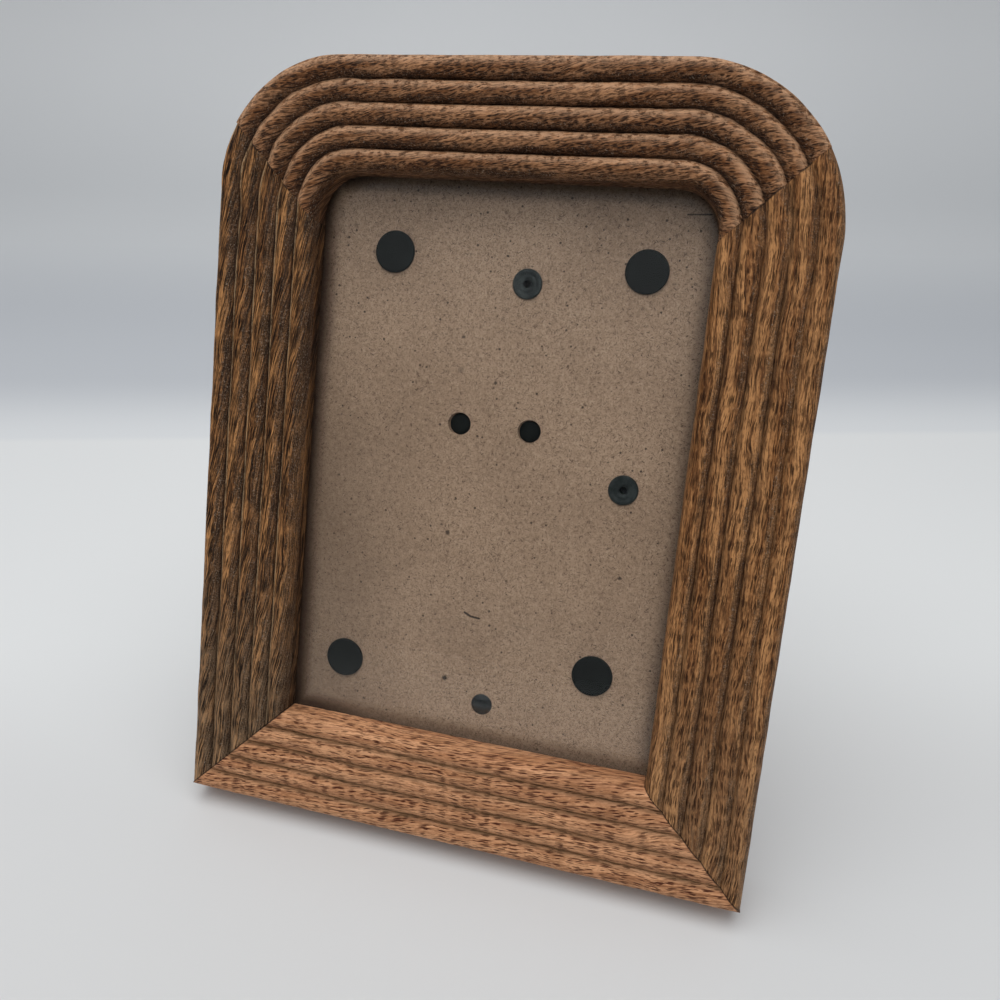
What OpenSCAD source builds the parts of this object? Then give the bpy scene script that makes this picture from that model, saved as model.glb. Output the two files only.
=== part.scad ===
// Reeded wooden picture frame, leaning back on its easel leg.
// Flat coordinates: X to the right, Y up along the face, Z towards the viewer,
// with Z = 0 at the crests of the reeds. standing() tips them back onto the table.

/* [Frame] */
// Overall width of the wood
frame_w = 175; // [165:1:200]
// Overall height of the wood, measured along its face
frame_h = 226; // [210:1:260]
// Thickness of the wood, from its back to the crests of the reeds
frame_t = 21; // [20.5:0.5:26]
// Width of each wood member
member_w = 30.5; // [27:0.5:34]
// Radius of the top left corner
corner_r_left = 36; // [31:1:46]
// Radius of the top right corner
corner_r_right = 43; // [31:1:46]
// Radius of the two top corners of the window
window_r = 12; // [8:1:20]
// How far below a plain corner mitre each top joint lies
joint_drop = 14.5; // [8:0.5:18]

/* [Reeds] */
// Reeds on each member
reed_count = 5; // [3:1:7]
// Depth of the grooves on the top rail
groove_top = 2.2; // [0.5:0.1:3]
// Depth of the grooves on the left stile
groove_left = 2; // [0.5:0.1:3]
// Depth of the grooves on the right stile
groove_right = 1.1; // [0.5:0.1:3]
// Depth of the grooves on the bottom rail
groove_bottom = 2.6; // [0.5:0.1:3]
// Drop of the rounded outer and inner edges below the crests
edge_drop = 3.2; // [2:0.1:4]

/* [Rabbet] */
// Width of the lip that overlaps the glass
lip_w = 7; // [5:0.5:9]
// Depth of the glass below the crests of the reeds
lip_t = 10; // [8:0.5:10.5]
// Play round the glass and the board
pane_play = 0.5; // [0.3:0.1:1]
// How deep the kerf for the turn tabs runs into the wood
kerf_depth = 4.4; // [3:0.1:6]
// Play of a turn tab in the kerf, on each side
kerf_play = 0.3; // [0.2:0.1:0.6]

/* [Corner nails] */
// Length of each V-nail, front to back
nail_h = 9; // [5:0.5:10]
// Length of each leg of the V
nail_leg = 5; // [3:0.5:6]
// Thickness of the nail's steel
nail_t = 0.6; // [0.4:0.1:1]
// Distance of each nail from the frame's outer edge
nail_inset = 9.5; // [8:0.5:11]

/* [Glass and board] */
// Thickness of the glass
glass_t = 2; // [1.5:0.1:2.5]
// Thickness of the backing board
board_t = 3; // [2.5:0.1:3.4]

/* [Turn tabs] */
// Thickness of a tab
tab_t = 1; // [0.8:0.1:1.2]
// Length of a tab from its pivot to its tip
tab_l = 33.5; // [33.5:0.5:38]
// Width of a tab at its pivot
tab_w = 12; // [10:0.5:14]
// Width of a tab at its tip
tab_tip_w = 9; // [7:0.5:10]
// Gap between a tab and the board
tab_gap = 0.1; // [0.05:0.05:0.3]
// Diameter of the flat rivet heads behind the glass
tab_head_d = 12.2; // [9:0.1:14]
// Thickness of those heads
tab_head_t = 0.8; // [0.6:0.1:1.2]
// Radius of the tab rivets' shanks
tab_shank_r = 1.6; // [1.2:0.1:2]

/* [Hangers] */
// Width of a hanger strap
strap_w = 10; // [8:0.5:11]
// Thickness of a hanger strap
strap_t = 0.8; // [0.6:0.1:1]
// Distance from a strap's rivet to its sleeve
strap_l = 8; // [7.5:0.5:10]
// Diameter of the hollow rivets' heads behind the glass
hollow_head_d = 8.7; // [7:0.1:10]
// Distance of the top hanger's rivet from the board's top edge
hanger_drop = 33.5; // [30:0.1:40]
// Distance of the top hanger's rivet from the board's middle line
hanger_shift = 5.8; // [0:0.1:15]
// Distance of the side hanger's rivet from the board's right edge
hanger_inset = 23.6; // [20:0.1:30]
// Diameter of the wire of the rings
ring_wire_d = 2; // [1.6:0.1:2.4]
// Width of a ring, between the centres of its wire
ring_w = 14; // [13.5:0.5:16]
// Length of a ring's straight sides
ring_side = 3; // [2:0.5:5]

/* [Easel] */
// Angle by which the frame leans back
lean = 19; // [14:0.5:22]
// Angle between the board and the open leg
leg_open = 34; // [30:0.5:38]
// Height of the hinge's axis along the face
hinge_y = 118; // [110:1:125]
// Thickness of the leg
leg_t = 2.7; // [2.4:0.1:3.4]
// Width of the leg at its top
leg_top_w = 38; // [34:1:44]
// Width of the leg at its foot
leg_foot_w = 64; // [52:1:68]
// Radius of the hinge pin
pin_r = 1; // [0.8:0.1:1.1]
// Outer radius of the hinge knuckles
knuckle_r = 1.8; // [1.7:0.1:2]
// Thickness of the hinge leaves
leaf_t = 0.8; // [0.6:0.1:0.9]
// Width of the hinge
hinge_w = 33; // [30:1:36]
// Diameter of the two counterbores in the board
counterbore_d = 7; // [6.5:0.1:8]
// Depth of those counterbores
counterbore_t = 1.4; // [1:0.1:1.6]
// Distance between the two counterbores
counterbore_gap = 21.4; // [18:0.2:24]

/* [Ribbon] */
// Width of the ribbon
ribbon_w = 10; // [8:0.5:12]
// Thickness of the ribbon
ribbon_t = 0.6; // [0.4:0.1:0.8]
// Distance from the hinge's axis to the ribbon's two rivets
ribbon_reach = 76.8; // [60:0.1:80]
// Diameter of the domed rivet heads
dome_d = 6.7; // [5:0.1:8]

/* [Hidden] */
$fn = 64;

// Small allowances
eps = 0.01;
running_play = 0.05;
cut_past = 1;

// Straight pieces in a tab's round end and in the leg's corner
arc_steps = 16;

// The reeds' sections and the steps round a corner
reed_steps = 6;
corner_steps = 10;
reed_pitch = member_w / reed_count;

// Levels behind the crests, as depths
glass_front = lip_t;
glass_back = glass_front + glass_t;
board_front = glass_back + tab_head_t + tab_gap;
board_back = board_front + board_t;
tab_front = board_back + tab_gap;
tab_back = tab_front + tab_t;

// The rabbet, the glass and the board
rabbet_x = frame_w / 2 - member_w + lip_w;
rabbet_y0 = member_w - lip_w;
rabbet_y1 = frame_h - member_w + lip_w;
board_x = rabbet_x - pane_play;
board_y0 = rabbet_y0 + pane_play;
board_y1 = rabbet_y1 - pane_play;
board_mid = (board_y0 + board_y1) / 2;

// The top joints run at 45 degrees along y = joint_line + |x|
joint_line = frame_h - frame_w / 2 - joint_drop;

// Turn tabs: side (-1 left, 1 right), end (-1 bottom, 1 top), insets of the pivot from the board's edges.
// The insets differ because the holes were drilled by hand.
TABS = [
  [-1, 1, 28.4, 26.9],
  [1, 1, 24.3, 28],
  [-1, -1, 21.8, 24.3],
  [1, -1, 26.1, 32.7]
];
tab_bite = kerf_depth - 0.4;
tab_tip_r = tab_tip_w / 2;
tab_tail_r = tab_shank_r + 1.2;
function tab_x(i) = TABS[i][0] * (board_x - TABS[i][2]);
function tab_y(i) = TABS[i][1] > 0 ? board_y1 - TABS[i][3] : board_y0 + TABS[i][3];
// A tab is turned out until its tip is near the bottom of the kerf
function tab_swing(i) = let (need = TABS[i][2] + pane_play + tab_bite)
  acos(min(1, (need - tab_tip_r) / (tab_l - tab_tip_r)));

// Hangers: places of their rivets
hanger_top = [hanger_shift, board_y1 - hanger_drop];
hanger_side = [board_x - hanger_inset, board_mid];
hollow_shank_r = 2;
hollow_bore_r = 1.1;
hollow_head_t = 0.8;
hollow_tail_r = 3.3;
ring_r = ring_wire_d / 2;
sleeve_r = ring_r + running_play + strap_t;
sleeve_l = strap_w - 1;
sleeve_depth = board_back + sleeve_r;

// Easel
knuckle_gap = 0.15;
hinge_depth = board_back + knuckle_gap + knuckle_r;
counterbore_y = hinge_y + 8.6;
pin_head_t = 0.6;
pin_head_r = pin_r + 0.4;
board_leaf_h = 15;
strut_leaf_h = 14;
strut_leaf_w = hinge_w - 5;
leg_front = hinge_depth + leaf_t / 2;
leg_gap = 0.5;
leg_corner = 6;
knuckle_l = hinge_w / 3;
knuckle_play = 0.15;
leg_rivet_x = 8;
leg_rivet_y = 8;
small_shank_r = 1.3;
small_head_r = 2.7;
small_head_t = 0.6;
tail_t = 0.8;
// Height of the hinge's axis above the table, and the leg's length that reaches it
axis_up = hinge_y * cos(lean) + (frame_t - hinge_depth) * sin(lean);
leg_tilt = leg_open - lean;
leg_l = axis_up / cos(leg_tilt) + leg_t + 2;
ribbon_x = 4.6;
ribbon_board_y = hinge_y - ribbon_reach;

// The frame stands on the back edge of its bottom rail, over the middle of its own footprint
face_front = min([for (p = face_points(groove_bottom)) p[0] * sin(lean) + (-p[1] - frame_t) * cos(lean)]);
axis_back = hinge_y * sin(lean) + (hinge_depth - frame_t) * cos(lean);
foot_back = axis_back + axis_up * tan(leg_tilt) + (leg_front - hinge_depth + leg_t) / cos(leg_tilt);
footprint_mid = (face_front + max(frame_h * sin(lean), foot_back)) / 2;

// Tips the flat frame back onto the table
module standing() {
  translate([0, -footprint_mid, 0])
    rotate([90 - lean, 0, 0])
      translate([0, 0, frame_t])
        children();
}

// Swings what hangs on the leg's hinge out to the open angle
module leg_swung() {
  translate([0, hinge_y, -hinge_depth])
    rotate([leg_open, 0, 0])
      translate([0, -hinge_y, hinge_depth])
        children();
}

// Wood

// Depth of the face below the crests at angle a, from -90 to 90, across reed i
function reed_drop(i, a, groove) =
  ((i == 0 && a < 0) || (i == reed_count - 1 && a > 0) ? edge_drop : groove) * (1 - cos(a));

// The reeded face as points [distance from the outer edge, height above the crests]
function face_points(groove) = [
  for (i = [0 : reed_count - 1], k = [(i == 0 ? 0 : 1) : reed_steps])
    let (a = -90 + 180 * k / reed_steps)
      [reed_pitch * (i + 0.5 + sin(a) / 2), -reed_drop(i, a, groove)]
];

// A member's whole section, with a point at the back under each groove
function member_section(groove) = concat(
  [[0, -frame_t]],
  face_points(groove),
  [for (i = [reed_count : -1 : 1]) [i * reed_pitch, -frame_t]]
);

// Triangles that close an end of a member, reed by reed, as places in the section's list
function end_triangles() = [
  for (i = [0 : reed_count - 1], k = [1 : reed_steps + 1])
    let (n = reed_count * (reed_steps + 1) + 2, first = 1 + i * reed_steps)
      [(n - i) % n, first + k - 1, k > reed_steps ? n - i - 1 : first + k]
];

// Corner radius of the line that runs at distance o inside the outer edge
function line_r(o, outer_r) = outer_r + (window_r - outer_r) * o / member_w;

// Place of that line at station k. The stations run from below the left stile round the left corner
// to the middle of the top rail, and on round the right corner to below the right stile.
middle_station = corner_steps + 2;
last_station = 2 * middle_station;
function line_at(o, k) =
  k == 0 ? [-frame_w / 2 + o, -cut_past]
  : k == middle_station ? [0, frame_h - o]
  : k == last_station ? [frame_w / 2 - o, -cut_past]
  : k < middle_station
    ? let (r = line_r(o, corner_r_left), a = 180 - 90 * (k - 1) / corner_steps)
      [-frame_w / 2 + o + r + r * cos(a), frame_h - o - r + r * sin(a)]
    : let (r = line_r(o, corner_r_right), a = 90 - 90 * (k - middle_station - 1) / corner_steps)
      [frame_w / 2 - o - r + r * cos(a), frame_h - o - r + r * sin(a)];

// The reeded section carried round the arch from one station to another
module reeded_arch(groove, first, last) {
  section = member_section(groove);
  n = len(section);
  m = last - first;
  polyhedron(
    points = [for (k = [first : last], p = section) concat(line_at(p[0], k), [p[1]])],
    faces = concat(
      [for (k = [0 : m - 1], j = [0 : n - 1]) let (a = k * n + j, b = k * n + (j + 1) % n) [a, b + n, b]],
      [for (k = [0 : m - 1], j = [0 : n - 1]) let (a = k * n + j, b = k * n + (j + 1) % n) [a, a + n, b + n]],
      end_triangles(),
      [for (t = end_triangles()) [m * n + t[2], m * n + t[1], m * n + t[0]]]
    )
  );
}

// All of the wood's depth, over an outline
module through_wood(outline) {
  translate([0, 0, -frame_t - cut_past])
    linear_extrude(frame_t + 2 * cut_past)
      polygon(outline);
}

// Everything above the two top joints
module above_joints() {
  through_wood([
    [0, joint_line], [frame_w, joint_line + frame_w], [frame_w, 2 * frame_h], [-frame_w, 2 * frame_h],
    [-frame_w, joint_line + frame_w]
  ]);
}

// Everything between the top joints and the two bottom mitres
module between_joints() {
  through_wood([
    [0, joint_line], [-frame_w, joint_line + frame_w], [-frame_w, -frame_w / 2], [0, frame_w / 2],
    [frame_w, -frame_w / 2], [frame_w, joint_line + frame_w]
  ]);
}

// Everything below the two bottom mitres
module below_joints() {
  through_wood([[-frame_w, -frame_w / 2], [frame_w, -frame_w / 2], [0, frame_w / 2]]);
}

// A box from depth d0 to depth d1, over the frame's middle
module recess(half_x, y0, y1, d0, d1) {
  translate([-half_x, y0, -d1])
    cube([2 * half_x, y1 - y0, d1 - d0]);
}

module v_nail() {
  for (s = [-1, 1])
    rotate(45 * s)
      translate([-nail_t / 2, 0, 0])
        cube([nail_t, nail_leg, nail_h]);
}

// Two nails across the bottom mitres and two across the top joints, driven flush from behind
module nail_set() {
  for (s = [-1, 1]) {
    translate([s * (frame_w / 2 - nail_inset), nail_inset, -frame_t])
      rotate(s * 45)
        v_nail();
    translate([s * (frame_w / 2 - nail_inset), joint_line + frame_w / 2 - nail_inset, -frame_t])
      rotate(s * 135)
        v_nail();
  }
}

// Rabbet, kerf and nail slots, which every member shares
module wood_cuts() {
  recess(rabbet_x, rabbet_y0, rabbet_y1, lip_t, frame_t + cut_past);
  recess(rabbet_x + kerf_depth, rabbet_y0 - kerf_depth, rabbet_y1 + kerf_depth,
    tab_front - kerf_play, tab_back + kerf_play);
  nail_set();
}

module top_rail() {
  color("#a8714c")
    standing()
      difference() {
        intersection() {
          reeded_arch(groove_top, 0, last_station);
          above_joints();
        }
        wood_cuts();
      }
}

// The part of the arch between the top joint and the bottom mitre, on one side
module stile(groove, first, last) {
  standing()
    difference() {
      intersection() {
        reeded_arch(groove, first, last);
        between_joints();
      }
      wood_cuts();
    }
}

module left_stile() {
  color("#86674a")
    stile(groove_left, 0, middle_station);
}

module right_stile() {
  color("#96683c")
    stile(groove_right, middle_station, last_station);
}

module bottom_rail() {
  color("#b87f52")
    standing()
      difference() {
        intersection() {
          translate([-frame_w / 2 - cut_past, 0, 0])
            rotate([90, 0, 90])
              linear_extrude(frame_w + 2 * cut_past)
                polygon(member_section(groove_bottom));
          below_joints();
        }
        wood_cuts();
      }
}

module corner_nails() {
  color("#8d9094")
    standing()
      nail_set();
}

// Glass and board

module glass_pane() {
  color([0.82, 0.9, 0.88, 0.35])
    standing()
      recess(board_x, board_y0, board_y1, glass_front, glass_back);
}

// A round hole through the board
module board_hole(at, r) {
  translate([at[0], at[1], -board_back - cut_past])
    cylinder(h = board_t + 2 * cut_past, r = r);
}

module backing_board() {
  color("#8a7a6c")
    standing()
      difference() {
        recess(board_x, board_y0, board_y1, board_front, board_back);
        for (i = [0 : len(TABS) - 1])
          board_hole([tab_x(i), tab_y(i)], tab_shank_r);
        board_hole(hanger_top, hollow_shank_r);
        board_hole(hanger_side, hollow_shank_r);
        board_hole([ribbon_x, ribbon_board_y], small_shank_r);
        for (s = [-1, 1]) {
          board_hole([s * counterbore_gap / 2, counterbore_y], small_shank_r);
          translate([s * counterbore_gap / 2, counterbore_y, -board_front - counterbore_t])
            cylinder(h = counterbore_t + cut_past, d = counterbore_d);
        }
      }
}

// Rivets

// A rivet along Z, with its head's seat at z = 0, its head above and its tail grip below
module rivet(head_r, head_t, shank_r, grip, tail_r, tail_h, bore_r = 0) {
  soft = min(head_t, tail_h) * 0.4;
  rotate_extrude()
    polygon([
      [bore_r, head_t], [head_r - soft, head_t], [head_r, head_t - soft], [head_r, 0],
      [shank_r, 0], [shank_r, -grip],
      [tail_r, -grip], [tail_r, -grip - tail_h + soft], [tail_r - soft, -grip - tail_h],
      [bore_r, -grip - tail_h]
    ]);
}

// A rivet with a domed head
module dome_rivet(head_r, head_t, shank_r, grip, tail_r, tail_h) {
  dome_r = (head_r * head_r + head_t * head_t) / (2 * head_t);
  intersection() {
    translate([0, 0, head_t - dome_r])
      sphere(r = dome_r);
    cylinder(h = head_t, r = head_r);
  }
  translate([0, 0, -grip])
    cylinder(h = grip + eps, r = shank_r);
  translate([0, 0, -grip - tail_h])
    cylinder(h = tail_h, r = tail_r);
}

module tab_rivets() {
  color("#23282a")
    standing()
      for (i = [0 : len(TABS) - 1])
        translate([tab_x(i), tab_y(i), -board_front])
          rivet(tab_head_d / 2, tab_head_t, tab_shank_r, board_t + tab_t + 2 * tab_gap, tab_tail_r, tail_t);
}

// Turn tabs

// Points on a circle of radius r round [x, 0], from angle a0 to angle a1
function arc_points(x, r, a0, a1) = [
  for (k = [0 : arc_steps]) let (a = a0 + (a1 - a0) * k / arc_steps) [x + r * cos(a), r * sin(a)]
];

// A tab that points along +X from its pivot, wide at the pivot and round at both ends
module tab_shape() {
  reach = tab_l - tab_tip_r;
  // The two straight sides touch both round ends
  side = acos((tab_w / 2 - tab_tip_r) / reach);
  difference() {
    linear_extrude(tab_t)
      polygon(concat(
        arc_points(0, tab_w / 2, side, 360 - side),
        arc_points(reach, tab_tip_r, -side, side)
      ));
    translate([0, 0, -cut_past])
      cylinder(h = tab_t + 2 * cut_past, r = tab_shank_r + running_play);
  }
}

// Tab i, turned out of the board's edge towards the middle of its stile
module turn_tab(i) {
  color("#2b2d2e")
    standing()
      translate([tab_x(i), tab_y(i), -tab_back])
        rotate(TABS[i][0] > 0 ? -TABS[i][1] * tab_swing(i) : 180 + TABS[i][1] * tab_swing(i))
          tab_shape();
}

// Hangers

// A strap on its rivet at the origin, with its sleeve above the rivet
module strap_shape() {
  difference() {
    union() {
      translate([0, 0, -board_back - strap_t])
        cylinder(h = strap_t, d = strap_w);
      translate([-sleeve_l / 2, 0, -board_back - strap_t])
        cube([sleeve_l, strap_l, strap_t]);
      translate([-sleeve_l / 2, strap_l, -sleeve_depth])
        rotate([0, 90, 0])
          cylinder(h = sleeve_l, r = sleeve_r);
    }
    translate([0, 0, -board_back - strap_t - cut_past])
      cylinder(h = strap_t + 2 * cut_past, r = hollow_shank_r);
    translate([-sleeve_l / 2 - cut_past, strap_l, -sleeve_depth])
      rotate([0, 90, 0])
        cylinder(h = sleeve_l + 2 * cut_past, r = ring_r + running_play);
  }
}

// A ring that hangs down from its straight bar on the X axis
module ring_shape() {
  translate([-ring_w / 2, 0, 0])
    rotate([0, 90, 0])
      cylinder(h = ring_w, r = ring_r);
  for (s = [-1, 1])
    translate([s * ring_w / 2, 0, 0]) {
      sphere(r = ring_r);
      rotate([90, 0, 0])
        cylinder(h = ring_side, r = ring_r);
    }
  translate([0, -ring_side, 0])
    rotate([0, 0, 180])
      rotate_extrude(angle = 180)
        translate([ring_w / 2, 0])
          circle(r = ring_r);
}

module hanger_strap_top() {
  color("#2b2d2e")
    standing()
      translate(hanger_top)
        strap_shape();
}

module hanger_strap_side() {
  color("#2b2d2e")
    standing()
      translate(hanger_side)
        rotate(-90)
          strap_shape();
}

// The top ring hangs straight down, clear of the leaning board
module hanger_ring_top() {
  color("#8d9094")
    standing()
      translate([hanger_top[0], hanger_top[1] + strap_l, -sleeve_depth])
        rotate([lean, 0, 0])
          ring_shape();
}

// The side ring's bar leans with the frame, so its free end drops to point straight back
module hanger_ring_side() {
  color("#8d9094")
    standing()
      translate([hanger_side[0] + strap_l, hanger_side[1], -sleeve_depth])
        rotate(-90)
          rotate([90, 0, 0])
            ring_shape();
}

module hanger_rivets() {
  color("#3a3f42")
    standing()
      for (at = [hanger_top, hanger_side])
        translate([at[0], at[1], -board_front])
          rivet(hollow_head_d / 2, hollow_head_t, hollow_shank_r, board_t + strap_t, hollow_tail_r, tail_t,
            hollow_bore_r);
}

// Easel

// The leg as it lies folded against the board, longer than needed until the table cuts its foot
module leg_blank() {
  top = -knuckle_r - leg_gap;
  half_top = leg_top_w / 2;
  right_side = concat(
    [[leg_foot_w / 2, -leg_l]],
    [for (p = arc_points(half_top - leg_corner, leg_corner, 0, 90)) [p[0], p[1] + top - leg_corner]]
  );
  left_side = [for (j = [len(right_side) - 1 : -1 : 0]) [-right_side[j][0], right_side[j][1]]];
  translate([0, hinge_y, -leg_front - leg_t])
    linear_extrude(leg_t)
      polygon(concat(right_side, left_side));
}

module strut_panel() {
  color("#3b342e")
    difference() {
      standing()
        leg_swung()
          difference() {
            leg_blank();
            for (s = [-1, 1])
              translate([s * leg_rivet_x, hinge_y - leg_rivet_y, -leg_front - leg_t - cut_past])
                cylinder(h = leg_t + 2 * cut_past, r = small_shank_r);
            translate([ribbon_x, ribbon_board_y, -leg_front - leg_t - cut_past])
              cylinder(h = leg_t + 2 * cut_past, r = small_shank_r);
          }
      // The foot is cut to lie flat on the table
      translate([-frame_w, -frame_h, -frame_h])
        cube([2 * frame_w, 2 * frame_h, frame_h]);
    }
}

// A knuckle whose middle is at x
module knuckle(x, l, bore_r) {
  translate([x - l / 2, hinge_y, -hinge_depth])
    rotate([0, 90, 0])
      difference() {
        cylinder(h = l, r = knuckle_r);
        translate([0, 0, -cut_past])
          cylinder(h = l + 2 * cut_past, r = bore_r);
      }
}

module hinge_board_leaf() {
  color("#2b2d2e")
    standing()
      difference() {
        union() {
          for (s = [-1, 1]) {
            knuckle(s * knuckle_l, knuckle_l, pin_r);
            translate([s * knuckle_l - knuckle_l / 2, hinge_y, -board_back - leaf_t])
              cube([knuckle_l, board_leaf_h, leaf_t]);
          }
          translate([-hinge_w / 2, hinge_y + knuckle_r + leg_gap, -board_back - leaf_t])
            cube([hinge_w, board_leaf_h - knuckle_r - leg_gap, leaf_t]);
        }
        for (s = [-1, 1])
          translate([s * counterbore_gap / 2, counterbore_y, -board_back - leaf_t - cut_past])
            cylinder(h = leaf_t + 2 * cut_past, r = small_shank_r);
        translate([-hinge_w, hinge_y, -hinge_depth])
          rotate([0, 90, 0])
            cylinder(h = 2 * hinge_w, r = pin_r);
      }
}

module hinge_strut_leaf() {
  color("#2b2d2e")
    standing()
      leg_swung()
        difference() {
          union() {
            knuckle(0, knuckle_l - 2 * knuckle_play, pin_r + running_play);
            translate([-knuckle_l / 2 + knuckle_play, hinge_y - knuckle_r - leg_gap, -leg_front])
              cube([knuckle_l - 2 * knuckle_play, knuckle_r - pin_r - 2 * running_play + leg_gap, leaf_t]);
            translate([-strut_leaf_w / 2, hinge_y - strut_leaf_h, -leg_front])
              cube([strut_leaf_w, strut_leaf_h - knuckle_r - leg_gap, leaf_t]);
          }
          for (s = [-1, 1])
            translate([s * leg_rivet_x, hinge_y - leg_rivet_y, -leg_front - cut_past])
              cylinder(h = leaf_t + 2 * cut_past, r = small_shank_r);
        }
}

// The pin, peened over at both ends of the hinge
module hinge_pin() {
  color("#8d9094")
    standing()
      translate([-hinge_w / 2 - pin_head_t, hinge_y, -hinge_depth])
        rotate([0, 90, 0]) {
          cylinder(h = hinge_w + 2 * pin_head_t, r = pin_r);
          cylinder(h = pin_head_t, r = pin_head_r);
          translate([0, 0, hinge_w + pin_head_t])
            cylinder(h = pin_head_t, r = pin_head_r);
        }
}

// Rivet heads at the bottom of the board's counterbores
module hinge_board_rivets() {
  color("#191b1c")
    standing()
      for (s = [-1, 1])
        translate([s * counterbore_gap / 2, counterbore_y, -board_front - counterbore_t])
          rivet(counterbore_d / 2 - 0.3, small_head_t, small_shank_r, board_t - counterbore_t + leaf_t,
            small_head_r, tail_t);
}

module hinge_strut_rivets() {
  color("#191b1c")
    standing()
      leg_swung()
        for (s = [-1, 1])
          translate([s * leg_rivet_x, hinge_y - leg_rivet_y, -leg_front + leaf_t])
            rivet(small_head_r, small_head_t, small_shank_r, leaf_t + leg_t, small_head_r, tail_t);
}

// Ribbon

// How far the ribbon lies flat past its rivets, towards the hinge
ribbon_lap = 4;

// Place in the plane of the hinge's swing, as [y, depth], of the ribbon's middle on the leg's face
leg_in = leg_front - hinge_depth - ribbon_t / 2;
function on_leg(s) = [
  hinge_y - s * cos(leg_open) + leg_in * sin(leg_open),
  hinge_depth + s * sin(leg_open) + leg_in * cos(leg_open)
];

// The ribbon's middle line: flat on the board, across to the leg, flat on the leg
ribbon_line = [
  [ribbon_board_y - ribbon_w / 2, board_back + ribbon_t / 2],
  [ribbon_board_y + ribbon_lap, board_back + ribbon_t / 2],
  on_leg(ribbon_reach - ribbon_lap),
  on_leg(ribbon_reach + ribbon_w / 2)
];

// Direction of the line's stretch i, and the same turned a quarter to its left
function stretch_dir(i) = (ribbon_line[i + 1] - ribbon_line[i]) / norm(ribbon_line[i + 1] - ribbon_line[i]);
function left_of(v) = [-v[1], v[0]];

// Point i of the line moved sideways by d, along the mitre between its two stretches
function beside_line(i, d) =
  let (a = left_of(stretch_dir(max(i - 1, 0))), b = left_of(stretch_dir(min(i, len(ribbon_line) - 2))))
    ribbon_line[i] + (a + b) * d / (1 + a * b);

// A hole for a ribbon rivet, through what lies at its place
module ribbon_hole() {
  translate([ribbon_x, ribbon_board_y, -leg_front - cut_past])
    cylinder(h = ribbon_t + 2 * cut_past, r = small_shank_r);
}

module stay_ribbon() {
  last = len(ribbon_line) - 1;
  outline = concat(
    [for (i = [0 : last]) beside_line(i, ribbon_t / 2)],
    [for (i = [last : -1 : 0]) beside_line(i, -ribbon_t / 2)]
  );
  color("#1d1b1b")
    standing()
      difference() {
        // Outline points [y, depth] become Y and -Z, and the width runs along X
        translate([ribbon_x - ribbon_w / 2, 0, 0])
          rotate([90, 0, 90])
            linear_extrude(ribbon_w)
              polygon([for (p = outline) [p[0], -p[1]]]);
        translate([0, 0, leg_front - board_back - ribbon_t])
          ribbon_hole();
        leg_swung()
          ribbon_hole();
      }
}

module ribbon_board_rivet() {
  color("#33383a")
    standing()
      translate([ribbon_x, ribbon_board_y, -board_front])
        dome_rivet(dome_d / 2, tab_head_t, small_shank_r, board_t + ribbon_t, small_head_r, tail_t);
}

module ribbon_strut_rivet() {
  color("#33383a")
    standing()
      leg_swung()
        translate([ribbon_x, ribbon_board_y, -leg_front - leg_t])
          rotate([180, 0, 0])
            dome_rivet(dome_d / 2, tab_head_t, small_shank_r, leg_t + ribbon_t, small_head_r, tail_t);
}

top_rail();
left_stile();
right_stile();
bottom_rail();
corner_nails();
glass_pane();
backing_board();
turn_tab(0);  // turn_tab_top_left
turn_tab(1);  // turn_tab_top_right
turn_tab(2);  // turn_tab_bottom_left
turn_tab(3);  // turn_tab_bottom_right
tab_rivets();
hanger_strap_top();
hanger_ring_top();
hanger_strap_side();
hanger_ring_side();
hanger_rivets();
strut_panel();
hinge_board_leaf();
hinge_strut_leaf();
hinge_pin();
hinge_board_rivets();
hinge_strut_rivets();
stay_ribbon();
ribbon_board_rivet();
ribbon_strut_rivet();
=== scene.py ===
"""Looks of the tabletop picture frame: reeded wood, glass, board, easel leg and hardware.

Flat coordinates, as in part.scad: X to the right, Y up the face, Z towards the viewer, in mm,
with Z = 0 at the crests of the reeds. FLAT stands them on the table, and LEG opens the leg.
"""
from math import acos, cos, degrees, hypot, pi, radians, sin

import bmesh
import bpy
from mathutils import Matrix, Vector, noise


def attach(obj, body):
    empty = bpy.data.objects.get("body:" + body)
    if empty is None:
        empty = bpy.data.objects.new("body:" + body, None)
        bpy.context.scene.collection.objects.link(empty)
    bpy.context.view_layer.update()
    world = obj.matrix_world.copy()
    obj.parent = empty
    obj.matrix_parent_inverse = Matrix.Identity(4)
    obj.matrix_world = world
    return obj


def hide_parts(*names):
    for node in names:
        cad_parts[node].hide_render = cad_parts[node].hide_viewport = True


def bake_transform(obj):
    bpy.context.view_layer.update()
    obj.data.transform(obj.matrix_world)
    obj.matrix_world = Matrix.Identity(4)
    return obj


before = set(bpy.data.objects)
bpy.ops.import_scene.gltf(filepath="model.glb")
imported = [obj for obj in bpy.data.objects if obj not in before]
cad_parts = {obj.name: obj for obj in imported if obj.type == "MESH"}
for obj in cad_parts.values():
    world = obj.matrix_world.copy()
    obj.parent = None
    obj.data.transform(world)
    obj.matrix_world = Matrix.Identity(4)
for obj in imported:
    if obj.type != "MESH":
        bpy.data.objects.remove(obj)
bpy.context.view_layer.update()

MM = 0.001
# Along the axes, per unit of distance from a plane at 45 degrees
DIAGONAL = 1.414

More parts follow.
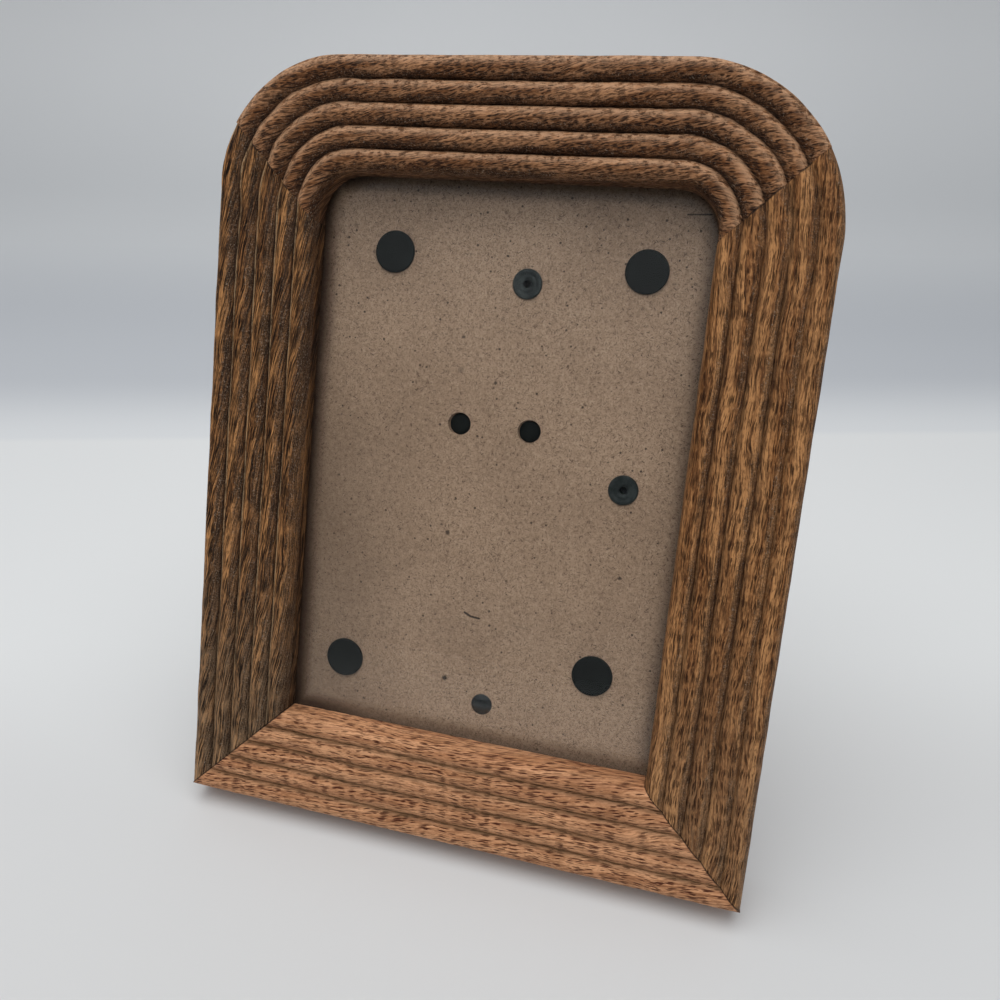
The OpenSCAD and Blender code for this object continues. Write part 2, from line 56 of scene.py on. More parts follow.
# Values of part.scad. O is the distance in from a member's outer edge, and Z or D the depth.
FRAME_W, FRAME_H, FRAME_T, MEMBER_W = 175, 226, 21, 30.5
CORNER_R, WINDOW_R = (36, 43), 12
JOINT_LINE = FRAME_H - FRAME_W / 2 - 14.5
LIP_T, RABBET_O = 10, 23.5
KERF_O, KERF_Z = 19.1, (15.7, 17.3)
GLASS_T, BOARD_FRONT, BOARD_BACK = 2, 12.9, 15.9
BOARD_X, BOARD_Y0, BOARD_Y1 = 63.5, 24, 202
LEAN, LEG_OPEN = radians(19), radians(34)
FOOTPRINT_MID = 27.312
HINGE_Y, HINGE_D = 118, 17.85
LEG_FRONT, LEG_T, LEG_L = 18.25, 2.7, 121.27
# Side, end, the pivot's x and y, and its distance from the board's edge
TABS = {
    "top_left": (-1, 1, -35.1, 175.1, 28.4),
    "top_right": (1, 1, 39.2, 174, 24.3),
    "bottom_left": (-1, -1, -41.7, 48.3, 21.8),
    "bottom_right": (1, -1, 37.4, 56.7, 26.1),
}
TAB_L, TAB_T, TAB_WIDE_R, TAB_TIP_R, TAB_HOLE_R = 33.5, 1, 6, 4.5, 1.65
TAB_GAP, TAB_BITE, PANE_PLAY = 0.1, 4, 0.5
HANGER_TOP, HANGER_SIDE = (5.8, 168.5), (39.9, 113)
SLEEVE_Y, SLEEVE_D = 8, 17.75
SHEET_T = 0.8
BOARD_RIVET, COUNTERBORE_D, LEG_RIVET, RIVET_HOLE_R = (10.7, 126.6), 14.3, (8, 110), 1.35
RIBBON_X, RIBBON_REACH, RIBBON_W, RIBBON_T = 4.6, 76.8, 10, 0.5
RIBBON_Y = HINGE_Y - RIBBON_REACH
# How far the ribbon reaches past its rivets, lies flat before them, and its middle is off what it lies on
RIBBON_PAST, RIBBON_FLAT, RIBBON_OFF = 5, 4, 0.3

FLAT = Matrix.Translation((0, -FOOTPRINT_MID * MM, 0)) @ Matrix.Rotation(pi / 2 - LEAN, 4, "X")
FLAT = FLAT @ Matrix.Translation((0, 0, FRAME_T * MM))
HINGE = Matrix.Translation((0, HINGE_Y * MM, -HINGE_D * MM))
LEG = FLAT @ HINGE @ Matrix.Rotation(LEG_OPEN, 4, "X") @ HINGE.inverted()


# Mesh helpers: every piece is made in flat millimetres and stood up by its object's matrix

def mesh_of(name, verts, faces):
    """A mesh from points in mm."""
    mesh = bpy.data.meshes.new(name)
    mesh.from_pydata([Vector(v) * MM for v in verts], [], faces)
    return mesh


def linked(name, data):
    """A new object in the scene."""
    obj = bpy.data.objects.new(name, data)
    bpy.context.collection.objects.link(obj)
    return obj


def piece(name, part, slot=None, replaces=None, **how):
    """A named piece of a (verts, faces) part in mm, with the looks of its slot, or as said in dress."""
    return dress(name, mesh_of(name, *part), slot, replaces, **how)


def dress(name, mesh, slot, replaces, matrix=FLAT, body="frame", material=None, smooth=30):
    """A named object of a finished mesh, riding on body. Edges sharper than smooth, in degrees, stay sharp."""
    mesh.validate()
    mesh.name = name
    if smooth:
        mesh.shade_smooth()
        mesh.set_sharp_from_angle(angle=radians(smooth))
    obj = linked(name, mesh)
    obj.matrix_world = matrix
    mesh.materials.append(material or LOOKS[slot])
    if body:
        bpy.context.view_layer.update()
        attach(obj, body)
    if replaces:
        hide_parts(replaces)
    return obj


def joined(parts):
    """Several (verts, faces) as one."""
    verts, faces = [], []
    for v, f in parts:
        faces += [[i + len(verts) for i in face] for face in f]
        verts += list(v)
    return verts, faces


def moved(part, matrix):
    """A (verts, faces) part moved by a matrix in mm."""
    return [matrix @ Vector(v) for v in part[0]], part[1]


def placed(part, x, y, depth, turn=0):
    """A part at (x, y) and that depth, turned about X."""
    return moved(part, Matrix.Translation((x, y, -depth)) @ Matrix.Rotation(turn, 4, "X"))


def lathe(profile, steps=64):
    """A closed profile of (radius, z) turned about Z."""
    turns = [2 * pi * k / steps for k in range(steps)]
    verts = [(r * cos(a), r * sin(a), z) for a in turns for r, z in profile]
    n = len(profile)
    faces = [
        (k * n + j, (k + 1) % steps * n + j, (k + 1) % steps * n + (j + 1) % n, k * n + (j + 1) % n)
        for k in range(steps) for j in range(n)
        if profile[j][0] > 0 or profile[(j + 1) % n][0] > 0
    ]
    return clean(verts, faces)


def clean(verts, faces):
    """The same part with points in one place merged, and its faces outward."""
    bm = bmesh.new()
    made = [bm.verts.new(v) for v in verts]
    for f in faces:
        try:
            bm.faces.new([made[i] for i in f])
        except ValueError:
            pass
    bmesh.ops.remove_doubles(bm, verts=bm.verts, dist=1e-4)
    bmesh.ops.recalc_face_normals(bm, faces=bm.faces)
    bm.verts.index_update()
    out = [v.co.copy() for v in bm.verts], [[v.index for v in f.verts] for f in bm.faces]
    bm.free()
    return out


def quads(rows, n, wrap=True):
    """Faces between rows of n points each. wrap joins a row's last point to its first."""
    return [
        (k * n + j, k * n + (j + 1) % n, (k + 1) * n + (j + 1) % n, (k + 1) * n + j)
        for k in range(rows - 1) for j in range(n if wrap else n - 1)
    ]


def arc(cx, cy, r, a0, a1, steps):
    """Points on an arc, angles in degrees."""
    angles = [radians(a0 + (a1 - a0) * k / steps) for k in range(steps + 1)]
    return [(cx + r * cos(a), cy + r * sin(a)) for a in angles]


def plate(outline, thickness, holes=(), edge=0.12):
    """A flat plate from z = 0 down to -thickness, with rounded edges and holes (x, y, r)."""
    curve = bpy.data.curves.new("plate", "CURVE")
    curve.dimensions, curve.fill_mode = "2D", "BOTH"
    curve.extrude, curve.bevel_depth = thickness / 2 - edge, edge
    curve.bevel_resolution, curve.offset = 2, -edge
    loops = [outline] + [arc(x, y, r, 360, 360 / 40, 39) for x, y, r in holes]
    for loop in loops:
        spline = curve.splines.new("POLY")
        spline.points.add(len(loop) - 1)
        for point, (x, y) in zip(spline.points, loop):
            point.co = (x, y, 0, 1)
        spline.use_cyclic_u = True
    obj = linked("plate", curve)
    graph = bpy.context.evaluated_depsgraph_get()
    mesh = bpy.data.meshes.new_from_object(obj.evaluated_get(graph))
    verts = [v.co + Vector((0, 0, -thickness / 2)) for v in mesh.vertices]
    faces = [list(p.vertices) for p in mesh.polygons]
    bpy.data.objects.remove(obj)
    bpy.data.curves.remove(curve)
    bpy.data.meshes.remove(mesh)
    return clean(verts, faces)


def strip(line, thickness, x0, x1, edge=0.1):
    """Sheet metal of that thickness along a line of (y, depth), from x0 to x1, with rounded edges."""
    sides = ([], [])
    for i, p in enumerate(line):
        before, after = line[max(i - 1, 0)], line[min(i + 1, len(line) - 1)]
        dy, dd = after[0] - before[0], after[1] - before[1]
        size = hypot(dy, dd)
        for side, s in zip(sides, (-1, 1)):
            side.append((p[0] - s * dd / size, p[1] + s * dy / size))
    loop = list(zip(line, sides[0])) + list(zip(line, sides[1]))[::-1]
    # Stations across the width, each with how far its loop is drawn in
    round_in = edge * 0.3
    stations = [(x0, edge), (x0 + round_in, round_in), (x0 + edge, 0)]
    stations += [(x1 - edge, 0), (x1 - round_in, round_in), (x1, edge)]
    verts, n = [], 2 * len(line)
    for x, inset in stations:
        reach = thickness / 2 - inset
        verts += [(x, p[0] + (q[0] - p[0]) * reach, -(p[1] + (q[1] - p[1]) * reach)) for p, q in loop]
    faces = quads(len(stations), n)
    for k in (0, len(stations) - 1):
        faces += [(k * n + j, k * n + j + 1, k * n + n - 2 - j, k * n + n - 1 - j) for j in range(len(line) - 1)]
    return clean(verts, faces)


def tube(path, radius, sides):
    """A closed round wire along 3D points."""
    points = [Vector(p) for p in path]
    turns = [2 * pi * k / sides for k in range(sides)]
    verts, across = [], None
    for before, p, after in zip(points[-1:] + points, points, points[1:] + points[:1]):
        along = (after - before).normalized()
        across = across or along.orthogonal()
        across = (across - along * across.dot(along)).normalized()
        other = along.cross(across)
        verts += [p + radius * (cos(a) * across + sin(a) * other) for a in turns]
    # The last row of faces runs back to the first points
    return clean(verts, [[i % len(verts) for i in face] for face in quads(len(points) + 1, sides)])


# Node helpers

class Shader:
    """The node tree of a material, or of the world."""

    def __init__(self, name, world=False):
        self.block = (bpy.data.worlds if world else bpy.data.materials).new(name)
        self.block.use_nodes = True
        self.tree = self.block.node_tree
        self.tree.nodes.clear()

    def add(self, kind, values=None, out=0, **props):
        node = self.tree.nodes.new("ShaderNode" + kind)
        for key, value in props.items():
            setattr(node, key, value)
        for key, value in (values or {}).items():
            self.put(node.inputs[key], value)
        return node.outputs[out] if out is not None else node

    def put(self, socket, value):
        if isinstance(value, bpy.types.NodeSocket):
            self.tree.links.new(value, socket)
        else:
            socket.default_value = value

    def math(self, operation, value, *others):
        """The operation taken over the values from left to right."""
        for other in others:
            value = self.add("Math", {0: value, 1: other}, operation=operation)
        return value

    def times(self, *factors):
        return self.math("MULTIPLY", *factors)

    def plus(self, *terms):
        return self.math("ADD", *terms)

    def minus(self, a, b):
        return self.math("SUBTRACT", a, b)

    def most(self, *values):
        return self.math("MAXIMUM", *values)

    def least(self, *values):
        return self.math("MINIMUM", *values)

    def hypot(self, a, b):
        return self.add("Math", {0: self.plus(self.times(a, a), self.times(b, b))}, operation="SQRT")

    def about_zero(self, value, size):
        """A noise, which lies about 0.5, brought about 0 and made size wide."""
        return self.times(self.minus(value, 0.5), size)

    def vector(self, operation, a, b=(0, 0, 0)):
        return self.add("VectorMath", {0: a, 1: b}, operation=operation)

    def noise(self, vector, scale=1, detail=2, rough=0.5, out=0):
        return self.add("TexNoise", {"Vector": vector, "Scale": scale, "Detail": detail, "Roughness": rough}, out=out)

    def stretched(self, vector, scales, detail=2, rough=0.5):
        """Noise with a scale of its own along each axis."""
        return self.noise(self.vector("MULTIPLY", vector, scales), detail=detail, rough=rough)

    def cells(self, vector, scale, **props):
        """Voronoi cells: the distance from the middle, and two random numbers of each cell."""
        cell = self.add("TexVoronoi", {"Vector": vector, "Scale": scale, "Randomness": 1.0}, out=None, feature="F1",
                        **props)
        draws = (self.add("SeparateColor", {0: cell.outputs["Color"]}, out=i) for i in range(2))
        return cell.outputs["Distance"], *draws

    def axis(self, vector, i):
        return self.add("SeparateXYZ", {0: vector}, out=i)

    def attribute(self, name, out=2):
        return self.add("Attribute", out=out, attribute_name=name)

    def span(self, value, a, b, c=0, d=1):
        """value taken smoothly from the range a to b, to c to d."""
        return self.add("MapRange", {"Value": value, "From Min": a, "From Max": b, "To Min": c, "To Max": d},
                        interpolation_type="SMOOTHSTEP", clamp=True)

    def mix(self, amount, a, b):
        return self.add("Mix", {0: amount, 6: a, 7: b}, out=2, data_type="RGBA")

    def layers(self, colour, *layers):
        """Tones laid over a colour one after another, each as (mask, tone)."""
        for mask, tone in layers:
            colour = self.mix(mask, colour, tone)
        return colour

    def bump(self, height, strength, distance):
        """A normal from a height, at most distance mm deep."""
        return self.add("Bump", {"Height": height, "Strength": strength, "Distance": distance * MM})

    def flat_mm(self, on_cad=False):
        """The place on the piece in flat mm. A CAD node's own coordinates are the standing ones."""
        at = self.add("TexCoord", out=3)
        if on_cad:
            values = {"Vector": at, "Location": FLAT.to_translation(), "Rotation": FLAT.to_euler()}
            at = self.add("Mapping", values, vector_type="TEXTURE")
        return self.add("VectorMath", {0: at, "Scale": 1 / MM}, operation="SCALE")

    def finish(self, **values):
        """Ends in a Principled shader. Underscores in the names stand for spaces."""
        bsdf = self.add("BsdfPrincipled", {k.replace("_", " "): v for k, v in values.items()}, out=None)
        self.add("OutputMaterial", {"Surface": bsdf.outputs[0]}, out=None)
        return self.block


def rgb(r, g, b):
    """A colour from sRGB, 0 to 255, to linear."""
    return tuple(c / 255 / 12.92 if c <= 10 else ((c / 255 + 0.055) / 1.055) ** 2.4 for c in (r, g, b)) + (1,)


# Materials

def dashes(s, grain, length, width, share):
    """Pores: separate dashes along the grain, of that length and width in mm; share is how many there are."""
    at = s.vector("MULTIPLY", grain, (0.5 / length, 0.5 / width, 1))
    middle, chosen, drawn = s.cells(at, 1, voronoi_dimensions="2D")
    far = s.times(middle, s.span(drawn, 0, 1, 0.75, 1.5))
    return s.times(s.span(far, 0.4, 0.14), s.span(chosen, 0.97 - share, 1.03 - share))


TORN_PIT, TORN_FLECK = rgb(36, 25, 19), rgb(182, 166, 148)
WORN_WOOD, DARK_JOINT_AND_GROOVE_SHADE = rgb(160, 135, 106), rgb(28, 18, 13)
# Heights up the face in mm: where the stiles' wear starts and where it is full, and the same for open joints
WEAR_FROM_TO, OPEN_FROM_TO = (95, 15), (80, 60)


def wood(name, slant, upright, tones, pore, dash, streaks, groove_dirt_and_shade, torn_and_shaded, rim, rough, worn_low=0):
    """Open-grained wood.

    slant: the grain's tilt in degrees
    tones: light, mid and dark
    dash: the pores' length, width, share and strength
    streaks: the fibre's scales along and across, and the long dark lines' scale across and strength
    groove_dirt_and_shade: the grooves' tone, grime and painted shade, where it starts, its strength, and that of a
    dark line in the middle
    torn_and_shaded: the flank that the cutter tore, which also gets painted shade, how much, the slope it starts at,
    and its tone
    rim: the slopes between which the reeds get a painted highlight, how much, and the tone
    worn_low: how worn the member is low on the frame
    """
    s = Shader(name)
    light, mid, dark = tones
    flat = s.flat_mm()
    # The reeds' rounded faces are laid out flat, so the grain isn't stretched on the flanks
    at = s.vector("ADD", flat, s.attribute("develop", out=1))
    up_face = s.axis(at, 1)
    turn = radians((90 if upright else 0) + slant)
    grain = s.add("Mapping", {"Vector": at, "Rotation": (0, 0, -turn)}, vector_type="POINT")
    sway = s.about_zero(s.stretched(grain, (0.022, 0.05, 0.05)), 7)
    wiggle = s.about_zero(s.stretched(grain, (0.16, 0.3, 0.3), 1), 0.9)
    # The grain dives into the wood a little, so it shows steeper on the flanks
    dive = s.times(s.axis(flat, 2), 0.6)
    grain = s.vector("ADD", grain, s.add("CombineXYZ", {0: dive, 1: s.plus(sway, wiggle)}))

    bands = s.stretched(grain, (0.012, 0.28, 0.1), 5, 0.62)
    fibre = s.stretched(grain, (streaks[0], streaks[1], 0.2), 2.5, 0.6)
    lines = s.stretched(grain, (0.05, streaks[2], 0.2), 3, 0.62)
    grit = s.stretched(grain, (0.7, 2.6, 0.5), 1.5, 0.6)
    blotch = s.noise(at, 0.05, 4, 0.6)
    colour = s.layers(
        light,
        (s.span(bands, 0.42, 0.56), mid),
        (s.span(fibre, 0.48, 0.62, 0, 0.75), dark),
        (s.span(fibre, 0.44, 0.34, 0, 0.6), light),
        (s.span(blotch, 0.45, 0.65, 0, 0.3), dark),
        (s.span(grit, 0.5, 0.64, 0, 0.5), dark),
        (s.span(grit, 0.44, 0.34, 0, 0.4), light),
        (s.span(lines, 0.54, 0.6, 0, streaks[3]), pore),
    )

    # Two sets of pores, the second one finer
    length, width, share, strength = dash
    crooked = s.noise(s.vector("MULTIPLY", grain, (0.4, 0.9, 0.5)), detail=1, out=1)
    crooked = s.vector("MULTIPLY", s.vector("SUBTRACT", crooked, (0.5, 0.5, 0.5)), (0.9, 0.3, 0))
    along = s.vector("ADD", grain, crooked)
    moved_on = s.vector("ADD", along, (31.7, 17.3, 0))
    marks = s.most(dashes(s, along, length, width, share),
                   dashes(s, moved_on, length * 0.7, width * 0.8, share * 0.7))
    colour = s.mix(s.times(marks, s.span(bands, 0.36, 0.48, strength * 0.5, strength)), colour, pore)

    # The flank that the cutter tore is grey and pitted, with pale flecks, and darkened as painted shade; the other rim
    # is lightened as a painted highlight
    flank, groove, ends = (s.attribute(key) for key in ("flank", "groove", "ends"))
    side, strength, start, torn_shade_tone = torn_and_shaded
    ragged = s.noise(at, 0.5, 3, 0.7)
    facing = s.plus(s.times(flank, side), s.about_zero(ragged, 0.9))
    torn_shaded_flank = s.times(s.span(facing, start, start + 0.35), s.span(blotch, 0.4, 0.56, 0.45, 1), strength)
    pits = s.noise(at, 1.9, 3, 0.75)
    not_worn = s.span(up_face, *WEAR_FROM_TO, 1, 1 - worn_low)
    pale = s.times(s.span(facing, rim[0], rim[1]), s.span(ragged, 0.4, 0.55, 0.1, 1))
    wear = s.times(s.span(up_face, *WEAR_FROM_TO, 0, worn_low), s.span(fibre, 0.62, 0.42, 0.3, 1))
    colour = s.layers(
        colour,
        (s.times(torn_shaded_flank, 0.6), torn_shade_tone),
        (s.times(torn_shaded_flank, s.span(pits, 0.48, 0.42, 0, 0.8)), TORN_PIT),
        (s.times(torn_shaded_flank, s.span(pits, 0.57, 0.66, 0, 0.8)), TORN_FLECK),
        (s.times(pale, not_worn, rim[2]), rim[3]),
        (s.times(wear, s.span(marks, 0, 0.7, 1, 0.1)), WORN_WOOD),
    )

    # Dirt and painted shade in the grooves, and dirt at the joints, where only the bottom mitres are open all along
    worn = s.noise(at, 0.16, 3)
    groove_dirt_shade_band = s.times(s.span(groove, groove_dirt_and_shade[1], 0.97), s.span(fibre, 0.4, 0.55, 0.6, 1), not_worn, groove_dirt_and_shade[2])
    middle = s.times(s.span(groove, 0.9, 1), s.span(worn, 0.35, 0.6, groove_dirt_and_shade[3] * 0.4, groove_dirt_and_shade[3]))
    open_joint = s.most(s.span(up_face, *OPEN_FROM_TO), s.span(worn, 0.52, 0.6))
    joint = s.times(s.span(ends, 0.45, 0.1, 0, 0.8), open_joint)
    colour = s.layers(colour, (groove_dirt_shade_band, groove_dirt_and_shade[0]), (s.most(middle, joint), DARK_JOINT_AND_GROOVE_SHADE))

    height = s.plus(s.times(fibre, 0.5), s.times(marks, -0.7), s.times(lines, 0.5), s.times(torn_shaded_flank, pits, 2.4))
    gloss = s.plus(s.times(fibre, 0.2), s.times(marks, 0.2), rough - 0.1)
    return s.finish(Base_Color=colour, Roughness=gloss, Normal=s.bump(height, 1, 0.3), Specular_IOR_Level=0.15)


def far_from_path(s, x, y, points):
    """Distance in mm from a line through (x, y) points, for a scratch."""
    found = []
    for (ax, ay), (bx, by) in zip(points, points[1:]):
        length = hypot(bx - ax, by - ay)
        ux, uy = (bx - ax) / length, (by - ay) / length
        px, py = s.minus(x, ax), s.minus(y, ay)
        along = s.plus(s.times(px, ux), s.times(py, uy))
        past = s.minus(along, s.add("Clamp", {0: along, 1: 0, 2: length}))
        found.append(s.hypot(past, s.minus(s.times(py, ux), s.times(px, uy))))
    return s.least(*found)


FIBRE_DARK, FIBRE_PALE, FIBRE_FINE = rgb(104, 82, 64), rgb(188, 162, 138), rgb(98, 76, 59)
HAIR, SPECK, LOWER_LEFT_SHADE, SHADED_RIM = rgb(72, 53, 40), rgb(50, 36, 27), rgb(92, 74, 60), rgb(58, 40, 30)
SCRATCH, SPOT = rgb(34, 24, 19), rgb(38, 27, 21)


def fibreboard(name, light, dark, on_cad=True, scratches=(), spots=()):
    """Brown hardboard with specks, short fibres and old marks on its front, and painted shade along the window's edge
    and towards the lower left.

    scratches are (points, width, strength) and spots are (x, y, radius, strength).
    """
    s = Shader(name)
    at = s.flat_mm(on_cad)
    x, y, z = (s.axis(at, i) for i in range(3))
    cloud = s.noise(at, 0.03, 4, 0.55)
    mottle = s.noise(at, 0.9, 3, 0.7)
    fine = s.noise(at, 2.3, 1)
    hairs = []
    for angle, seed in ((25, 0), (85, 40), (140, 90)):
        turned = s.add("Mapping", {"Vector": at, "Rotation": (0, 0, radians(angle)), "Location": (seed, seed, 0)})
        bend = s.about_zero(s.noise(turned, 0.35, 1), 2.5)
        hairs.append(dashes(s, s.vector("ADD", turned, s.add("CombineXYZ", {1: bend})), 0.8, 0.15, 0.1))
    hairs = s.most(*hairs)
    middle, chosen, drawn = s.cells(at, 0.42)
    speck = s.span(s.minus(s.span(drawn, 0, 1, 0.07, 0.18), middle), 0, 0.04)
    speck = s.times(speck, s.span(chosen, 0.46, 0.52), 0.85)
    # Painted shade: the board is darker along the window's edge, under the lip, most of all at the left
    half, low, high = FRAME_W / 2 - MEMBER_W, MEMBER_W, FRAME_H - MEMBER_W
    aside = s.add("Math", {0: x}, operation="ABSOLUTE")
    inside = s.least(s.minus(half, aside), s.minus(y, low), s.minus(high, y))
    inside = s.plus(inside, s.about_zero(cloud, 5))
    front = s.span(z, -BOARD_FRONT - 0.4, -BOARD_FRONT - 0.2)
    rim = s.times(front, s.span(inside, 5, -1))
    colour = s.layers(
        light,
        (s.span(cloud, 0.3, 0.7), dark),
        (s.span(mottle, 0.5, 0.66, 0, 0.35), FIBRE_DARK),
        (s.span(mottle, 0.46, 0.34, 0, 0.25), FIBRE_PALE),
        (s.span(fine, 0.52, 0.66, 0, 0.5), FIBRE_FINE),
        (s.times(hairs, 0.8), HAIR),
        (speck, SPECK),
        # Painted shade: the board darker towards the lower left
        (s.times(s.span(x, -12, -46), s.span(y, 150, 95, 0, 0.4)), LOWER_LEFT_SHADE),
        (s.times(rim, s.span(x, -30, -50, 0.6, 0.95)), SHADED_RIM),
    )
    ragged = s.about_zero(s.noise(at, 2.2, 2), 0.8)
    for points, width, strength in scratches:
        far = s.plus(far_from_path(s, x, y, points), s.times(ragged, width))
        colour = s.mix(s.times(front, s.span(far, width, width * 0.4, 0, strength)), colour, SCRATCH)
    for cx, cy, radius, strength in spots:
        far = s.plus(s.hypot(s.minus(x, cx), s.minus(y, cy)), ragged)
        colour = s.mix(s.times(front, s.span(far, radius, radius * 0.4, 0, strength)), colour, SPOT)
    height = s.plus(s.times(mottle, 0.6), s.times(hairs, -0.5))
    return s.finish(Base_Color=colour, Roughness=s.span(mottle, 0.3, 0.7, 0.62, 0.8),
                    Normal=s.bump(height, 0.4, 0.08), Specular_IOR_Level=0.3)


def clear_glass():
    """Plain glass that lets lamps through."""
    s = Shader("glass")
    pane = s.add("BsdfPrincipled", {"Base Color": (0.985, 1, 0.99, 1), "Roughness": 0, "IOR": 1.25,
                                    "Transmission Weight": 1.0})
    through = s.add("BsdfTransparent", {"Color": (0.95, 0.96, 0.955, 1)})
    shadow = s.add("LightPath", out=1)
    s.add("OutputMaterial", {"Surface": s.add("MixShader", {0: shadow, 1: pane, 2: through})}, out=None)
    return s.block


def metal(name, tone, worn, rough, metallic, shine=0.5, dents=0.25):
    """Blackened, dull or bright steel, with soft stains and rubbed spots. dents is how uneven it is."""
    s = Shader(name)
    at = s.flat_mm()
    stain = s.noise(at, 0.35, 4, 0.6)
    grit = s.noise(at, 3, 3, 0.6)
    rub = s.noise(at, 0.9, 5, 0.7)
    colour = s.layers(tone, (s.span(stain, 0.35, 0.7, 0, 0.6), worn), (s.span(rub, 0.6, 0.72, 0, 0.3), worn))
    return s.finish(Base_Color=colour, Metallic=metallic, Specular_IOR_Level=shine,
                    Normal=s.bump(s.plus(grit, rub), dents, 0.04),
                    Roughness=s.plus(s.times(stain, 0.25), rough - 0.1))


def paper(name):
    """Black paper over the leg, rubbed brown here and there."""
    s = Shader(name)
    at = s.flat_mm()
    pulp = s.noise(at, 2.2, 4, 0.65)
    rub = s.noise(at, 0.16, 5, 0.62)
    grain = s.add("TexVoronoi", {"Vector": at, "Scale": 1.6, "Randomness": 1.0}, feature="SMOOTH_F1")
    colour = s.mix(s.span(pulp, 0.3, 0.75), rgb(30, 29, 28), rgb(48, 46, 44))
    colour = s.mix(s.span(rub, 0.6, 0.74, 0, 0.55), colour, rgb(88, 78, 68))
    return s.finish(Base_Color=colour, Roughness=s.span(pulp, 0.3, 0.7, 0.6, 0.78),
                    Normal=s.bump(s.plus(pulp, grain), 0.4, 0.06))


def woven(name):
    """Black grosgrain ribbon, with ribs across it and finer threads along it."""
    s = Shader(name)
    at = s.flat_mm()
    ribs, threads = (
        s.add("TexWave", {"Vector": at, "Scale": scale, "Distortion": bend, "Detail": 1.0}, out=1,
              wave_type="BANDS", bands_direction=way)
        for scale, bend, way in ((0.55, 0.3, "Y"), (0.9, 0.4, "X"))
    )
    lint = s.noise(at, 1.4, 4, 0.7)
    colour = s.mix(ribs, rgb(17, 16, 17), rgb(38, 36, 37))
    colour = s.mix(s.span(lint, 0.58, 0.75, 0, 0.4), colour, rgb(74, 70, 68))
    return s.finish(Base_Color=colour, Roughness=s.span(ribs, 0, 1, 0.65, 0.85), Sheen_Weight=0.3,
                    Normal=s.bump(s.plus(ribs, s.times(threads, 0.5)), 0.6, 0.1))


# Each wood's flank that the cutter tore is darkened as painted shade, its pale rim is a painted highlight, and its
# grooves carry painted shade along with grime
WOODS = {
    "top": wood(
        "wood_top", slant=11, upright=False, tones=(rgb(180, 131, 93), rgb(127, 83, 50), rgb(74, 43, 22)),
        pore=rgb(34, 18, 10), dash=(1.5, 0.23, 0.62, 0.9), streaks=(0.3, 1.7, 1, 0.3),
        groove_dirt_and_shade=(rgb(46, 29, 18), 0.55, 0.65, 0.2), torn_and_shaded=(1, 0.85, 0.25, rgb(48, 30, 20)),
        rim=(0.1, -0.5, 0.7, rgb(210, 166, 130)), rough=0.5),
    "left": wood(
        "wood_left", slant=-9, upright=True, tones=(rgb(196, 140, 88), rgb(122, 81, 47), rgb(42, 25, 14)),
        pore=rgb(12, 6, 4), dash=(5, 0.2, 0.7, 1), streaks=(0.07, 2.3, 1.5, 0.7),
        groove_dirt_and_shade=(rgb(44, 30, 22), 0.7, 0.6, 0.3), torn_and_shaded=(1, 0.9, 0.1, rgb(108, 84, 66)),
        rim=(-0.42, -0.6, 0.7, rgb(212, 180, 140)), rough=0.55, worn_low=0.5),
    "right": wood(
        "wood_right", slant=1, upright=True, tones=(rgb(198, 143, 92), rgb(140, 93, 54), rgb(74, 43, 23)),
        pore=rgb(36, 18, 9), dash=(2.6, 0.22, 0.4, 0.8), streaks=(0.12, 1.7, 1.3, 0.4),
        groove_dirt_and_shade=(rgb(56, 33, 21), 0.35, 0.7, 0.35), torn_and_shaded=(-1, 0.6, 0.15, rgb(120, 93, 68)),
        rim=(-0.55, -0.75, 0.3, rgb(188, 146, 102)), rough=0.52, worn_low=0.25),
    "bottom": wood(
        "wood_bottom", slant=5, upright=False, tones=(rgb(224, 167, 124), rgb(196, 139, 99), rgb(152, 104, 70)),
        pore=rgb(84, 40, 26), dash=(2.3, 0.25, 0.5, 1), streaks=(0.1, 1.7, 1.1, 0.3),
        groove_dirt_and_shade=(rgb(128, 100, 72), 0.4, 0.8, 0.06), torn_and_shaded=(1, 0.1, 0.3, rgb(124, 90, 62)),
        rim=(0.1, -0.6, 0.15, rgb(220, 178, 138)), rough=0.5),
}
# Scratches and spots that the photo shows on the board
OLD_MARKS = [
    ([(-3.6, 69.4), (-1.4, 68.4), (1.2, 68.2)], 0.42, 0.95),
    ([(11, 67.8), (16.5, 67.5)], 0.35, 0.25),
    ([(48.2, 189.8), (54.5, 190.1)], 0.3, 0.8),
    ([(2.5, 90), (5.5, 84.5), (9, 80)], 0.2, 0.3),
]
OLD_SPOTS = [
    (-8, 47.5, 1.1, 0.95), (-11.3, 93.4, 1, 0.8), (42, 87.3, 0.7, 0.85), (-0.8, 139.7, 0.7, 0.8),
    (-11.8, 152.1, 0.7, 0.7), (-11.8, 142.5, 1.3, 0.35), (-13.5, 95.6, 0.5, 0.7), (-9.8, 104, 0.5, 0.8),
]
BOARD = fibreboard("fibreboard", rgb(157, 131, 110), rgb(144, 119, 99), True, OLD_MARKS, OLD_SPOTS)
DOME_RIVET = metal("dome_rivet", rgb(9, 13, 14), rgb(14, 18, 19), 0.14, 0, shine=0.5, dents=0.03)
PAPER = paper("leg_paper")
LEG_EDGE = fibreboard("leg_edge", rgb(104, 78, 56), rgb(84, 60, 42), on_cad=False)
RIBBON = woven("ribbon_weave")
